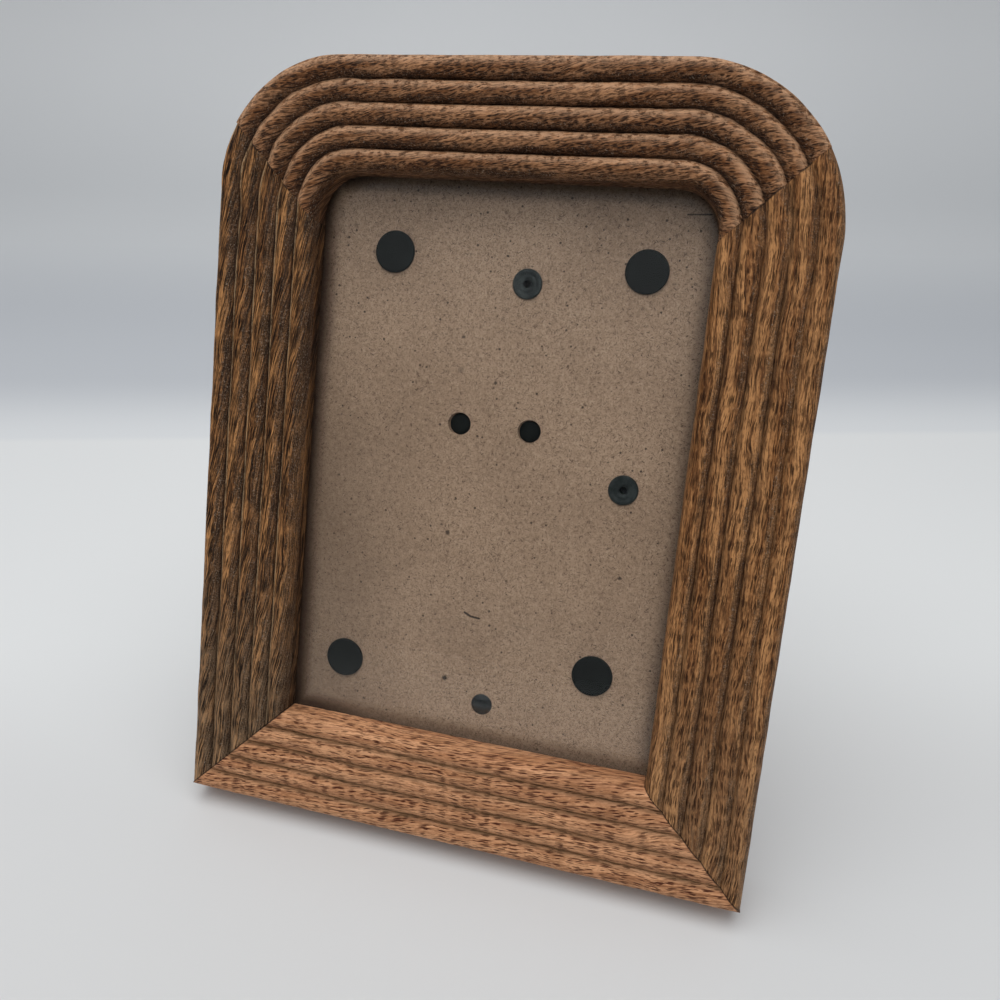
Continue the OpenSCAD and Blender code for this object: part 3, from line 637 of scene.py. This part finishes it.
# The looks of a slot, unless a piece says otherwise
LOOKS = {
    "glass": clear_glass(),
    "black_steel": metal("black_steel", rgb(34, 36, 37), rgb(62, 62, 60), 0.5, 0.6),
    "black_rivet": metal("black_rivet", rgb(12, 15, 14), rgb(18, 21, 20), 0.6, 0, shine=0.12),
    "grey_rivet": metal("grey_rivet", rgb(26, 31, 31), rgb(56, 61, 61), 0.45, 0.3, shine=0.25),
    "bright_steel": metal("bright_steel", rgb(150, 152, 152), rgb(112, 106, 98), 0.32, 1),
}


# Wood

REED_EDGES = (0, 6.19, 12.41, 18.62, 24.8, MEMBER_W)
# Points (o, z) of a member's section, on both sides of the reeds
OUTER_SIDE = [(0.9, -FRAME_T), (0.25, 0.25 - FRAME_T), (0, 0.9 - FRAME_T), (0, -16), (0, -11), (0, -6)]
WINDOW_SIDE = [(MEMBER_W, -6.5), (MEMBER_W, 0.5 - LIP_T), (MEMBER_W - 0.3, -LIP_T)]
RABBET = [(RABBET_O, -LIP_T), (RABBET_O, -KERF_Z[0]), (KERF_O, -KERF_Z[0]), (KERF_O, -KERF_Z[1]),
          (RABBET_O, -KERF_Z[1]), (RABBET_O, 0.4 - FRAME_T), (RABBET_O - 0.4, -FRAME_T)]
# The back's points, with how far each has gone from the round outer corner to the rabbet's square one
BACK = [(18, 0.8), (12, 0.5), (6, 0.25)]


def section(groove, outer_drop, inner_drop, widest, faint, lip):
    """A member's closed section: rows of (o, z, how square its corners are, groove tone, place across the reed).

    groove, outer_drop, inner_drop: depth of the grooves and of the two outermost flanks
    widest: half the angle of a reed's round face, in degrees
    faint: the reed before which the groove is paler, or -1
    lip: groove tone of the window's lip, painted shade on its inner wall
    """
    rows = [(o, z, 0, 0, 0) for o, z in OUTER_SIDE]
    steps, last, widest = 14, len(REED_EDGES) - 2, radians(widest)
    for i, (a, b) in enumerate(zip(REED_EDGES, REED_EDGES[1:])):
        for k in range(0 if i == 0 else 1, steps + 1):
            t = -widest + 2 * widest * k / steps
            drop, bend = groove, widest
            if (i == 0 and t < 0) or (i == last and t > 0):
                drop, bend = (outer_drop if i == 0 else inner_drop), radians(90)
                t = t / widest * bend
            o = (a + b) / 2 + (b - a) / 2 * sin(t) / sin(bend)
            z = -drop * (1 - cos(t)) / (1 - cos(bend))
            at_groove = abs(t) / bend if drop == groove else 0
            if (i == faint and t < 0) or (i == faint - 1 and t >= 0):
                at_groove *= 0.75
            rows.append((o, z, 0, at_groove, t / bend))
    rows += [(o, z, 0, lip, 0) for o, z in WINDOW_SIDE]
    rows += [(o, z, 1, 0, 0) for o, z in RABBET]
    return rows + [(o, -FRAME_T, square, 0, 0) for o, square in BACK]


class ArchLine:
    """The line at distance o inside the outer edge, from the bottom left round the arch to the bottom right."""

    def __init__(self, o, square):
        self.o = o
        self.r = [(r + (WINDOW_R - r) * o / MEMBER_W) * (1 - square) for r in CORNER_R]
        rise = [FRAME_H - o - r for r in self.r]
        top = FRAME_W - 2 * o - self.r[0] - self.r[1]
        self.parts = (rise[0], self.r[0] * pi / 2, top, self.r[1] * pi / 2, rise[1])
        self.length = sum(self.parts)

    def at(self, s):
        """The point at distance s along the line."""
        up, bend, top, bend2, down = self.parts
        r0, r1 = self.r
        left, right, head = -FRAME_W / 2 + self.o, FRAME_W / 2 - self.o, FRAME_H - self.o
        if s < up:
            return left, s
        s -= up
        if s < bend:
            a = pi - s / r0
            return left + r0 * (1 + cos(a)), head - r0 * (1 - sin(a))
        s -= bend
        if s < top:
            return left + r0 + s, head
        s -= top
        if s < bend2:
            a = pi / 2 - s / r1
            return right - r1 * (1 - cos(a)), head - r1 * (1 - sin(a))
        return right, down - (s - bend2)

    def crossing(self, side, gap):
        """Distance along the line where it meets the top joint on that side, gap mm away from the plane."""
        low, high = (0, self.length / 2) if side < 0 else (self.length, self.length / 2)
        for _ in range(40):
            mid = (low + high) / 2
            x, y = self.at(mid)
            if y - abs(x) < JOINT_LINE + gap * DIAGONAL:
                low = mid
            else:
                high = mid
        return (low + high) / 2


# Each member ends this far from the joint's plane, in mm
JOINT_GAP = 0.005
# The hand-carved corners start this far from the middle and the foot, and fade in over this width
CORNER_X, CORNER_Y, CORNER_FADE = 38, 168, 14
# Waves of the reeds' surface: height in mm, and frequency per mm
WAVES = ((0.16, 0.06), (0.09, 0.3), (0.05, 1.1))


def ends_of(member, o, square):
    """The member's line at distance o, as a function of a share from 0 to 1, and its length."""
    if member == "bottom":
        x = FRAME_W / 2 - o - JOINT_GAP * DIAGONAL
        return (lambda t: (-x + 2 * x * t, o)), 2 * x
    line = ArchLine(o, square)
    if member == "top":
        s0, s1 = line.crossing(-1, JOINT_GAP), line.crossing(1, JOINT_GAP)
    elif member == "left":
        s0, s1 = o + JOINT_GAP * DIAGONAL, line.crossing(-1, -JOINT_GAP)
    else:
        s0, s1 = line.crossing(1, -JOINT_GAP), line.length - o - JOINT_GAP * DIAGONAL
    return (lambda t: line.at(s0 + (s1 - s0) * t)), s1 - s0


def ramp(value, start, width):
    """0 up to start, then rising to 1 over that width."""
    return max(0, min(1, (value - start) / width))


def unrolled(rows):
    """Distance of each row along the section's surface from the first reed's outer edge."""
    spread = [0]
    for a, b in zip(rows, rows[1:]):
        spread.append(spread[-1] + hypot(b[0] - a[0], b[1] - a[1]))
    return [far - spread[len(OUTER_SIDE)] for far in spread]


def member(which, name, groove, outer_drop, inner_drop, widest, stations, seed, faint=-1, lip=0.95):
    """One wood member, swept along its lines through that many stations, and a little uneven."""
    rows = section(groove, outer_drop, inner_drop, widest, faint, lip)
    lines = [ends_of(which, o, square) for o, z, square, tone, flank in rows]
    outer, kerf = lines[0][0], next(line for row, (line, _) in zip(rows, lines) if row[0] == KERF_O)
    spread = unrolled(rows)
    verts, tones, ends, flanks, develop = [], [], [], [], []
    for k in range(stations + 1):
        # Stations crowd towards the joints, where the edges are broken
        t = k / stations
        t = t - 0.6 * sin(2 * pi * t) / (2 * pi)
        inward = (Vector(kerf(t)) - Vector(outer(t))).normalized()
        for (o, z, square, tone, flank), (line, length), wide in zip(rows, lines, spread):
            x, y = line(t)
            develop += [*(inward * (wide - o) if square == 0 else (0, 0)), 0]
            if z > -9 and square == 0:
                p = Vector((x, y, z + seed * 50))
                if abs(flank) < 1.01 and 0.5 < o < 30 and z > -groove - 0.01:
                    # In the two corners the reeds were carved by hand, rounder and less even
                    turned = ramp(abs(x), CORNER_X, CORNER_FADE) * ramp(y, CORNER_Y, CORNER_FADE)
                    wave = -groove * (1 - cos(pi * flank)) / 2
                    z += (wave - z) * 0.75 * turned
                    z *= 1 + 0.3 * noise.noise(Vector((x, y, seed * 9)) * 0.035)
                    carved = turned * noise.noise(Vector((x, y, seed * 7)) * 0.11)
                    z *= 1 + 0.35 * carved
                    x, y = x + inward.x * 0.45 * carved, y + inward.y * 0.45 * carved
                z += sum(height * noise.noise(p * scale) for height, scale in WAVES)
                push = 0.16 * noise.noise(p * 0.12 + Vector((9, 9, 9)))
                x, y = (x + push, y) if which in ("left", "right") else (x, y + push)
            verts.append((x, y, min(z, 0)))
            tones.append(tone)
            ends.append(min(t, 1 - t) * length)
            flanks.append(flank)
    n = len(rows)
    faces = quads(stations + 1, n) + [list(range(n)), list(range(stations * n, (stations + 1) * n))]
    mesh = mesh_of(name, verts, faces)
    bm = bmesh.new()
    bm.from_mesh(mesh)
    bmesh.ops.recalc_face_normals(bm, faces=bm.faces)
    bm.to_mesh(mesh)
    bm.free()
    for key, values in (("groove", tones), ("ends", ends), ("flank", flanks)):
        mesh.attributes.new(key, "FLOAT", "POINT").data.foreach_set("value", values)
    mesh.attributes.new("develop", "FLOAT_VECTOR", "POINT").data.foreach_set("vector", develop)
    dress("reeded_" + name, mesh, "wood_" + which, name, material=WOODS[which], smooth=35)


member("top", "top_rail", 2.2, 2, 3.9, 66, 150, 1)
member("left", "left_stile", 2.1, 2.7, 3.9, 68, 130, 2)
member("right", "right_stile", 1.05, 3.4, 3.9, 72, 130, 3, faint=1)
member("bottom", "bottom_rail", 1.6, 1.4, 3.9, 70, 120, 4, lip=0)


# Nails, a hair proud of the back

NAIL_O, NAIL_T, NAIL_H, NAIL_PROUD = 9.5, 0.6, 9, 0.06


def nail(x, y, turn):
    """The two legs of a V-nail at (x, y). turn is the direction its V opens to."""
    leg = strip([(along, 0) for along in (0, 1.2, 2.4, 3.6, 5)], NAIL_T, 0, NAIL_H, 0.08)
    place = Matrix.Translation((x, y, -FRAME_T - NAIL_PROUD))
    upright = Matrix.Rotation(radians(-90), 4, "Y")
    return [moved(leg, place @ Matrix.Rotation(radians(turn + 45 * side), 4, "Z") @ upright) for side in (-1, 1)]


nails, aside = [], FRAME_W / 2 - NAIL_O
for side in (-1, 1):
    nails += nail(side * aside, NAIL_O, side * 45) + nail(side * aside, JOINT_LINE + aside, side * 135)
piece("v_nails", joined(nails), "bright_steel", "corner_nails")


# Glass and board

corners = [(-BOARD_X, BOARD_Y0), (BOARD_X, BOARD_Y0), (BOARD_X, BOARD_Y1), (-BOARD_X, BOARD_Y1)]
pane = plate(corners, GLASS_T, edge=0.25)
piece("clear_pane", placed(pane, 0, 0, LIP_T), "glass", "glass_pane", smooth=0)
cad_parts["backing_board"].data.materials.clear()
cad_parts["backing_board"].data.materials.append(BOARD)


# Rivets. Each outline of (radius, z) runs from the head's middle round to the tail's, and z = 0 is under the head.

def clinched(head, grip, tail):
    """A rivet's outline: its head, a shank as long as its grip, and a tail."""
    return head + [(1.3, 0), (1.3, -grip)] + [(r, z - grip) for r, z in tail]


def small_rivet(head_r, grip):
    """Outline of a rivet with a low round head."""
    head = [(0, 0.62), (head_r * 0.5, 0.58), (head_r * 0.85, 0.42), (head_r, 0.16), (head_r - 0.1, 0)]
    return clinched(head, grip, [(2.6, 0), (2.7, -0.25), (2.45, -0.62), (1.7, -0.8), (0, -0.74)])


def dome(grip):
    """Outline of a rivet whose head is a cap of a ball."""
    ball, height, rim_r = 7.4, 0.8, 3.3
    head = [(ball * sin(radians(a)), height - ball * (1 - cos(radians(a)))) for a in range(0, 25, 2)]
    head += [(rim_r - 0.1, 0.06), (rim_r, 0.02), (rim_r, 0)]
    return clinched(head, grip, [(2.6, 0), (2.7, -0.25), (2.4, -0.65), (0, -0.8)])


flat_head = [(0, 0.72), (2, 0.73), (4.6, 0.78), (5.4, 0.8), (5.85, 0.76), (6.05, 0.62), (6.1, 0.4), (6.06, 0.12),
             (5.9, 0), (1.6, 0), (1.6, -4.2), (2.75, -4.2), (2.8, -4.45), (2.65, -4.8), (2.1, -4.98), (1.1, -5),
             (0, -4.9)]
discs = [placed(lathe(flat_head, 72), x, y, BOARD_FRONT) for _, _, x, y, _ in TABS.values()]
piece("tab_rivet_discs", joined(discs), "black_rivet", "tab_rivets")

# The bore of the hollow rivets ends at a crimped tail, so that nothing shows through
hollow = [(1.1, 0.1), (1.2, 0.42), (1.55, 0.62), (2.1, 0.68), (2.5, 0.6), (2.8, 0.6), (3.2, 0.76), (3.7, 0.8),
          (4.1, 0.7), (4.32, 0.42), (4.35, 0.12), (4.2, 0), (2, 0), (2, -3.8), (3.2, -3.8), (3.3, -4),
          (3.15, -4.4), (2.6, -4.6), (1.8, -4.55), (1.25, -4.3), (0.6, -4.1), (0, -4.1), (0, -3.7), (1, -3.6)]
piece("hollow_rivets", joined([placed(lathe(hollow), x, y, BOARD_FRONT) for x, y in (HANGER_TOP, HANGER_SIDE)]),
      "grey_rivet", "hanger_rivets")

deep = [placed(lathe(small_rivet(3.2, 2.4)), s * BOARD_RIVET[0], BOARD_RIVET[1], COUNTERBORE_D) for s in (-1, 1)]
piece("counterbored_rivets", joined(deep), "black_rivet", "hinge_board_rivets")
on_leaf = [placed(lathe(small_rivet(2.7, 3.5)), s * LEG_RIVET[0], LEG_RIVET[1], LEG_FRONT - SHEET_T)
           for s in (-1, 1)]
piece("leaf_rivets", joined(on_leaf), "black_rivet", "hinge_strut_rivets", matrix=LEG, body="leg")

piece("ribbon_board_dome", placed(lathe(dome(3.6)), RIBBON_X, RIBBON_Y, BOARD_FRONT), "grey_rivet",
      "ribbon_board_rivet", material=DOME_RIVET)
piece("ribbon_leg_dome", placed(lathe(dome(3.3)), RIBBON_X, RIBBON_Y, LEG_FRONT + LEG_T, pi), "grey_rivet",
      "ribbon_strut_rivet", matrix=LEG, body="leg")


# Turn tabs: pear-shaped plates whose tips stand in the kerf

for where, (side, end, x, y, inset) in TABS.items():
    reach = TAB_L - TAB_TIP_R
    straight = degrees(acos((TAB_WIDE_R - TAB_TIP_R) / reach))
    outline = arc(0, 0, TAB_WIDE_R, straight, 360 - straight, 30)
    outline += arc(reach, 0, TAB_TIP_R, -straight, straight, 22)
    tab = plate(outline, TAB_T, [(0, 0, TAB_HOLE_R)], 0.16)
    swing = acos(min(1, (inset + PANE_PLAY + TAB_BITE - TAB_TIP_R) / reach))
    turn = -end * swing if side > 0 else pi + end * swing
    lie = Matrix.Translation((x, y, -BOARD_BACK - TAB_GAP)) @ Matrix.Rotation(turn, 4, "Z")
    piece("tab_plate_" + where, moved(tab, lie), "black_steel", "turn_tab_" + where, body="tab_" + where)


# Hangers

def strap():
    """A round pad under the hollow rivet, and a sleeve rolled from the same sheet."""
    pad_r, hole_r, roll_r, half = 5, 2.02, 1.45, 4.5
    mid = BOARD_BACK + SHEET_T / 2
    line = [(2.6, mid), (4, mid), (6, mid)] + arc(SLEEVE_Y, SLEEVE_D, roll_r, -90, 205, 26)
    pad = plate(arc(0, 0, pad_r, 0, 352, 44), SHEET_T, [(0, 0, hole_r)])
    return joined([strip(line, SHEET_T, -half, half), placed(pad, 0, 0, BOARD_BACK)])


def wire_loop():
    """A wire ring that hangs down from its straight bar on the X axis, with rounded corners."""
    wire_r, bend, side, r = 1, 1.6, 3, 7
    path = [(x, 0) for x in (-4, -2, 0, 2, 4)]
    path += arc(r - bend, -bend, bend, 90, 0, 6)
    path += arc(0, -side, r, 0, -180, 28)
    path += arc(-r + bend, -bend, bend, 180, 90, 6)
    return tube([(x, y, 0) for x, y in path], wire_r, 18)


AT_TOP = Matrix.Translation((*HANGER_TOP, 0))
AT_SIDE = Matrix.Translation((*HANGER_SIDE, 0)) @ Matrix.Rotation(-pi / 2, 4, "Z")
SLEEVE = Matrix.Translation((0, SLEEVE_Y, -SLEEVE_D))
for where, place, hang in (("top", AT_TOP, LEAN), ("side", AT_SIDE, pi / 2)):
    piece("strap_" + where, moved(strap(), place), "black_steel", "hanger_strap_" + where)
    ring = moved(wire_loop(), place @ SLEEVE @ Matrix.Rotation(hang, 4, "X"))
    piece("ring_" + where, ring, "bright_steel", "hanger_ring_" + where, body="ring_" + where)


# Hinge

ROLL_R, ROLL_T, KNUCKLE = 1.4, 0.78, 5.45


def leaf_plate(outline, rivet):
    """The flat part of a leaf, with its two rivet holes."""
    return plate(outline, SHEET_T, [(s * rivet[0], rivet[1], RIVET_HOLE_R) for s in (-1, 1)])


def board_leaf():
    """The leaf on the board, with the two outer knuckles."""
    half, top, low, slot_half = 16.5, 133, 120.3, 5.5
    mid = BOARD_BACK + SHEET_T / 2
    line = [(124, mid), (121, mid), (119.4, mid + 0.1)] + arc(HINGE_Y, HINGE_D, ROLL_R, -90, -385, 26)
    knuckles = [strip(line, ROLL_T, x - KNUCKLE, x + KNUCKLE) for x in (-11, 11)]
    outline = arc(half - 1, top - 1, 1, 0, 90, 4) + arc(1 - half, top - 1, 1, 90, 180, 4)
    outline += [(x, low) for x in (-half, -slot_half, slot_half, half)]
    leaf = leaf_plate(outline, BOARD_RIVET)
    return joined(knuckles + [placed(leaf, 0, 0, BOARD_BACK)])


def strut_leaf():
    """The leaf on the leg, with the middle knuckle."""
    half, top, low = 14, 115.7, 104
    line = [(111, HINGE_D), (113.5, HINGE_D), (115, HINGE_D), (116, HINGE_D - 0.2)]
    middle = strip(line + arc(HINGE_Y, HINGE_D, ROLL_R, 207, 520, 28), ROLL_T, 0.1 - KNUCKLE, KNUCKLE - 0.1)
    outline = arc(half - 1, low + 1, 1, 0, -90, 4)[::-1] + arc(half - 1, top - 1, 1, 0, 90, 4)
    outline += arc(1 - half, top - 1, 1, 90, 180, 4) + arc(1 - half, low + 1, 1, 180, 270, 4)
    leaf = leaf_plate(outline, LEG_RIVET)
    return joined([middle, placed(leaf, 0, 0, LEG_FRONT - SHEET_T)])


piece("hinge_leaf_on_board", board_leaf(), "black_steel", "hinge_board_leaf")
piece("hinge_leaf_on_leg", strut_leaf(), "black_steel", "hinge_strut_leaf", matrix=LEG, body="leg")
pin = lathe([(0, -17.1), (1.1, -17.05), (1.38, -16.9), (1.4, -16.55), (1, -16.45), (1, 16.45), (1.4, 16.55),
             (1.38, 16.9), (1.1, 17.05), (0, 17.1)], 32)
piece("pin", moved(pin, Matrix.Translation((0, HINGE_Y, -HINGE_D)) @ Matrix.Rotation(pi / 2, 4, "Y")),
      "bright_steel", "hinge_pin")


# Leg

def leg_board():
    """The leg, covered in paper. Its foot is cut where it meets the table, and its edges are bare board."""
    foot_half, top, corner_x, corner_r = 32, HINGE_Y - 2.3, 13, 6
    outline = [(-foot_half, HINGE_Y - LEG_L), (foot_half, HINGE_Y - LEG_L)]
    outline += arc(corner_x, top - corner_r, corner_r, 0, 90, 10)
    outline += arc(-corner_x, top - corner_r, corner_r, 90, 180, 10)
    holes = [(-LEG_RIVET[0], LEG_RIVET[1]), LEG_RIVET, (RIBBON_X, RIBBON_Y)]
    body = plate(outline, LEG_T, [(x, y, RIVET_HOLE_R) for x, y in holes], 0.3)
    obj = piece("leg_board", placed(body, 0, 0, LEG_FRONT), matrix=LEG, body=None, material=PAPER)
    mesh = obj.data
    bm = bmesh.new()
    bm.from_mesh(mesh)
    # The cut is a hair above the table, in the leg's own coordinates
    to_leg = LEG.inverted()
    point, normal = to_leg @ Vector((0, 0, 0.02 * MM)), (to_leg.to_3x3() @ Vector((0, 0, 1))).normalized()
    cut = bmesh.ops.bisect_plane(bm, geom=bm.verts[:] + bm.edges[:] + bm.faces[:], plane_co=point, plane_no=normal,
                                 clear_inner=True)
    bmesh.ops.edgeloop_fill(bm, edges=[e for e in cut["geom_cut"] if isinstance(e, bmesh.types.BMEdge)])
    bmesh.ops.recalc_face_normals(bm, faces=bm.faces)
    for face in bm.faces:
        face.material_index = 0 if abs(face.normal.z) > 0.6 else 1
    bm.to_mesh(mesh)
    bm.free()
    mesh.materials.append(LEG_EDGE)
    mesh.shade_smooth()
    mesh.set_sharp_from_angle(angle=radians(40))
    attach(obj, "leg")
    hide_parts("strut_panel")


leg_board()


# Ribbon: flat on the board, across to the leg, flat on the leg

def on_leg(s):
    """The ribbon's middle (y, depth) where it lies on the leg, s mm down from the hinge."""
    inward = LEG_FRONT - HINGE_D - RIBBON_OFF
    return (HINGE_Y - s * cos(LEG_OPEN) + inward * sin(LEG_OPEN), HINGE_D + s * sin(LEG_OPEN) + inward * cos(LEG_OPEN))


def ribbon():
    """The ribbon as a sheet of one thickness. Between its two lapped ends it follows the leg."""
    on_board = BOARD_BACK + RIBBON_OFF
    corners = [(RIBBON_Y - RIBBON_PAST, on_board), (RIBBON_Y + RIBBON_FLAT, on_board),
               on_leg(RIBBON_REACH - RIBBON_FLAT), on_leg(RIBBON_REACH + RIBBON_PAST)]
    line = []
    for (y0, d0), (y1, d1), steps in zip(corners, corners[1:], (10, 44, 10)):
        line += [(y0 + (y1 - y0) * k / steps, d0 + (d1 - d0) * k / steps) for k in range(steps)]
    line.append(corners[-1])
    # The two bends are rounded a little
    for _ in range(2):
        rounded = [
            ((a[0] + 2 * b[0] + c[0]) / 4, (a[1] + 2 * b[1] + c[1]) / 4) for a, b, c in zip(line, line[1:], line[2:])
        ]
        line = [line[0]] + rounded + [line[-1]]
    across = 12
    edge = RIBBON_X - RIBBON_W / 2
    verts = [(edge + RIBBON_W * j / across, y, -d) for y, d in line for j in range(across + 1)]
    sheet = verts, quads(len(line), across + 1, wrap=False)
    obj = piece("ribbon_stay", sheet, body=None, material=RIBBON, smooth=60)
    thick = obj.modifiers.new("thick", "SOLIDIFY")
    thick.thickness, thick.offset = RIBBON_T * MM, 0
    graph = bpy.context.evaluated_depsgraph_get()
    solid = bpy.data.meshes.new_from_object(obj.evaluated_get(graph))
    obj.modifiers.clear()
    obj.data = solid
    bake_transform(obj)
    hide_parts("stay_ribbon")


ribbon()


# Floor and wall in one sweep, soft light and the camera

CAMERA_HEADING = radians(14.86)


def stage():
    """A pale floor that turns greyer behind the frame and then up into a wall, with painted shade and light: darker in
    front of the frame, greyer just behind it, and brighter up the wall.
    """
    profile = [(-2.4, 0), (-0.6, 0), (0, 0), (0.4, 0), (1, 0)]
    profile += [(1 + 0.5 * sin(radians(a)), 0.5 * (1 - cos(radians(a)))) for a in range(6, 49, 6)]
    profile += [(2, 0.863), (2.7, 1.64)]
    mesh = bpy.data.meshes.new("floor")
    mesh.from_pydata([(x, y, z) for y, z in profile for x in (-2.4, 2.4)], [], quads(len(profile), 2, wrap=False))
    mesh.shade_smooth()
    s = Shader("floor")
    at = s.add("TexCoord", out=3)
    far = s.axis(at, 1)
    # The table's far edge, not quite square to the view
    tilted = s.minus(far, s.times(s.axis(at, 0), 0.06))
    haze = s.noise(at, 1.6, 2)
    # Painted shade and light on the floor and wall: darker in front of the frame, a grey band behind it, and brighter
    # up the wall
    colour = s.layers(
        rgb(219, 220, 221),
        (s.span(far, -0.03, 0.07), rgb(231, 233, 234)),
        (s.span(tilted, 0.29, 0.302), rgb(224, 227, 230)),
        (s.span(tilted, 0.29, 0.43), rgb(196, 200, 206)),
        (s.span(far, 0.55, 1.1), rgb(226, 229, 232)),
        (s.span(far, 1.2, 1.5), rgb(250, 252, 254)),
        (s.span(haze, 0.3, 0.7, 0, 0.1), rgb(205, 208, 212)),
    )
    mesh.materials.append(s.finish(Base_Color=colour, Roughness=0.9))
    obj = linked("floor", mesh)
    obj.rotation_euler = (0, 0, CAMERA_HEADING)


def lamp(name, at, to, size, watts, colour=(1, 1, 1)):
    """A rectangular lamp that looks from one point to another."""
    light = bpy.data.lights.new(name, "AREA")
    light.shape, light.size, light.size_y = "RECTANGLE", size[0], size[1]
    light.energy, light.color = watts, colour
    obj = linked(name, light)
    turn = (Vector(to) - Vector(at)).to_track_quat("-Z", "Y").to_matrix().to_4x4()
    obj.matrix_world = Matrix.Translation(at) @ turn


def surroundings():
    """Light from the sky above, and a plain pale room for whatever looks past the floor."""
    s = Shader("room", world=True)
    height = s.axis(s.add("TexCoord", out=0), 2)
    sky = s.mix(s.span(height, -0.05, 0.85), rgb(84, 86, 90), rgb(240, 242, 244))
    light = s.add("Background", {"Color": sky, "Strength": 0.52})
    # Metal and glass reflect a darker room near the horizon, which keeps the pane clear
    path = s.add("LightPath", out=None)
    glossy = path.outputs["Is Glossy Ray"]
    seen = s.most(path.outputs["Is Camera Ray"], glossy, path.outputs["Is Transmission Ray"])
    reflected = s.mix(s.span(height, 0.25, 0.5), rgb(70, 72, 75), rgb(186, 189, 193))
    reflected = s.mix(s.span(height, 0.12, 0), reflected, rgb(140, 142, 145))
    room = s.add("Background", {"Color": s.mix(glossy, rgb(196, 199, 203), reflected), "Strength": 1.0})
    s.add("OutputWorld", {"Surface": s.add("MixShader", {0: seen, 1: light, 2: room})}, out=None)
    bpy.context.scene.world = s.block


stage()
lamp("key", (-0.08, -0.15, 1.25), (0, 0.05, 0.1), (1.5, 1.2), 10.9, (1, 0.99, 0.975))
lamp("strip", (0.3, -1.05, 1.03), (0, 0, 0.05), (0.9, 0.08), 1.5)
surroundings()

# The camera, as fitted to the photo
camera = linked("camera", bpy.data.cameras.new("camera"))
camera.data.lens, camera.data.sensor_width = 29.284, 36
camera.data.clip_start = 0.01
right = Vector((0.964722, 0.262943, 0.013149))
up = Vector((-0.130440, 0.434000, 0.891420))
back = Vector((0.228686, -0.861687, 0.452988))
turn = Matrix((right, up, back)).transposed().to_4x4()
camera.matrix_world = Matrix.Translation((0.059526, -0.210211, 0.212431)) @ turn
bpy.context.scene.camera = camera
bpy.context.scene.view_settings.view_transform = "Standard"

bpy.context.view_layer.update()
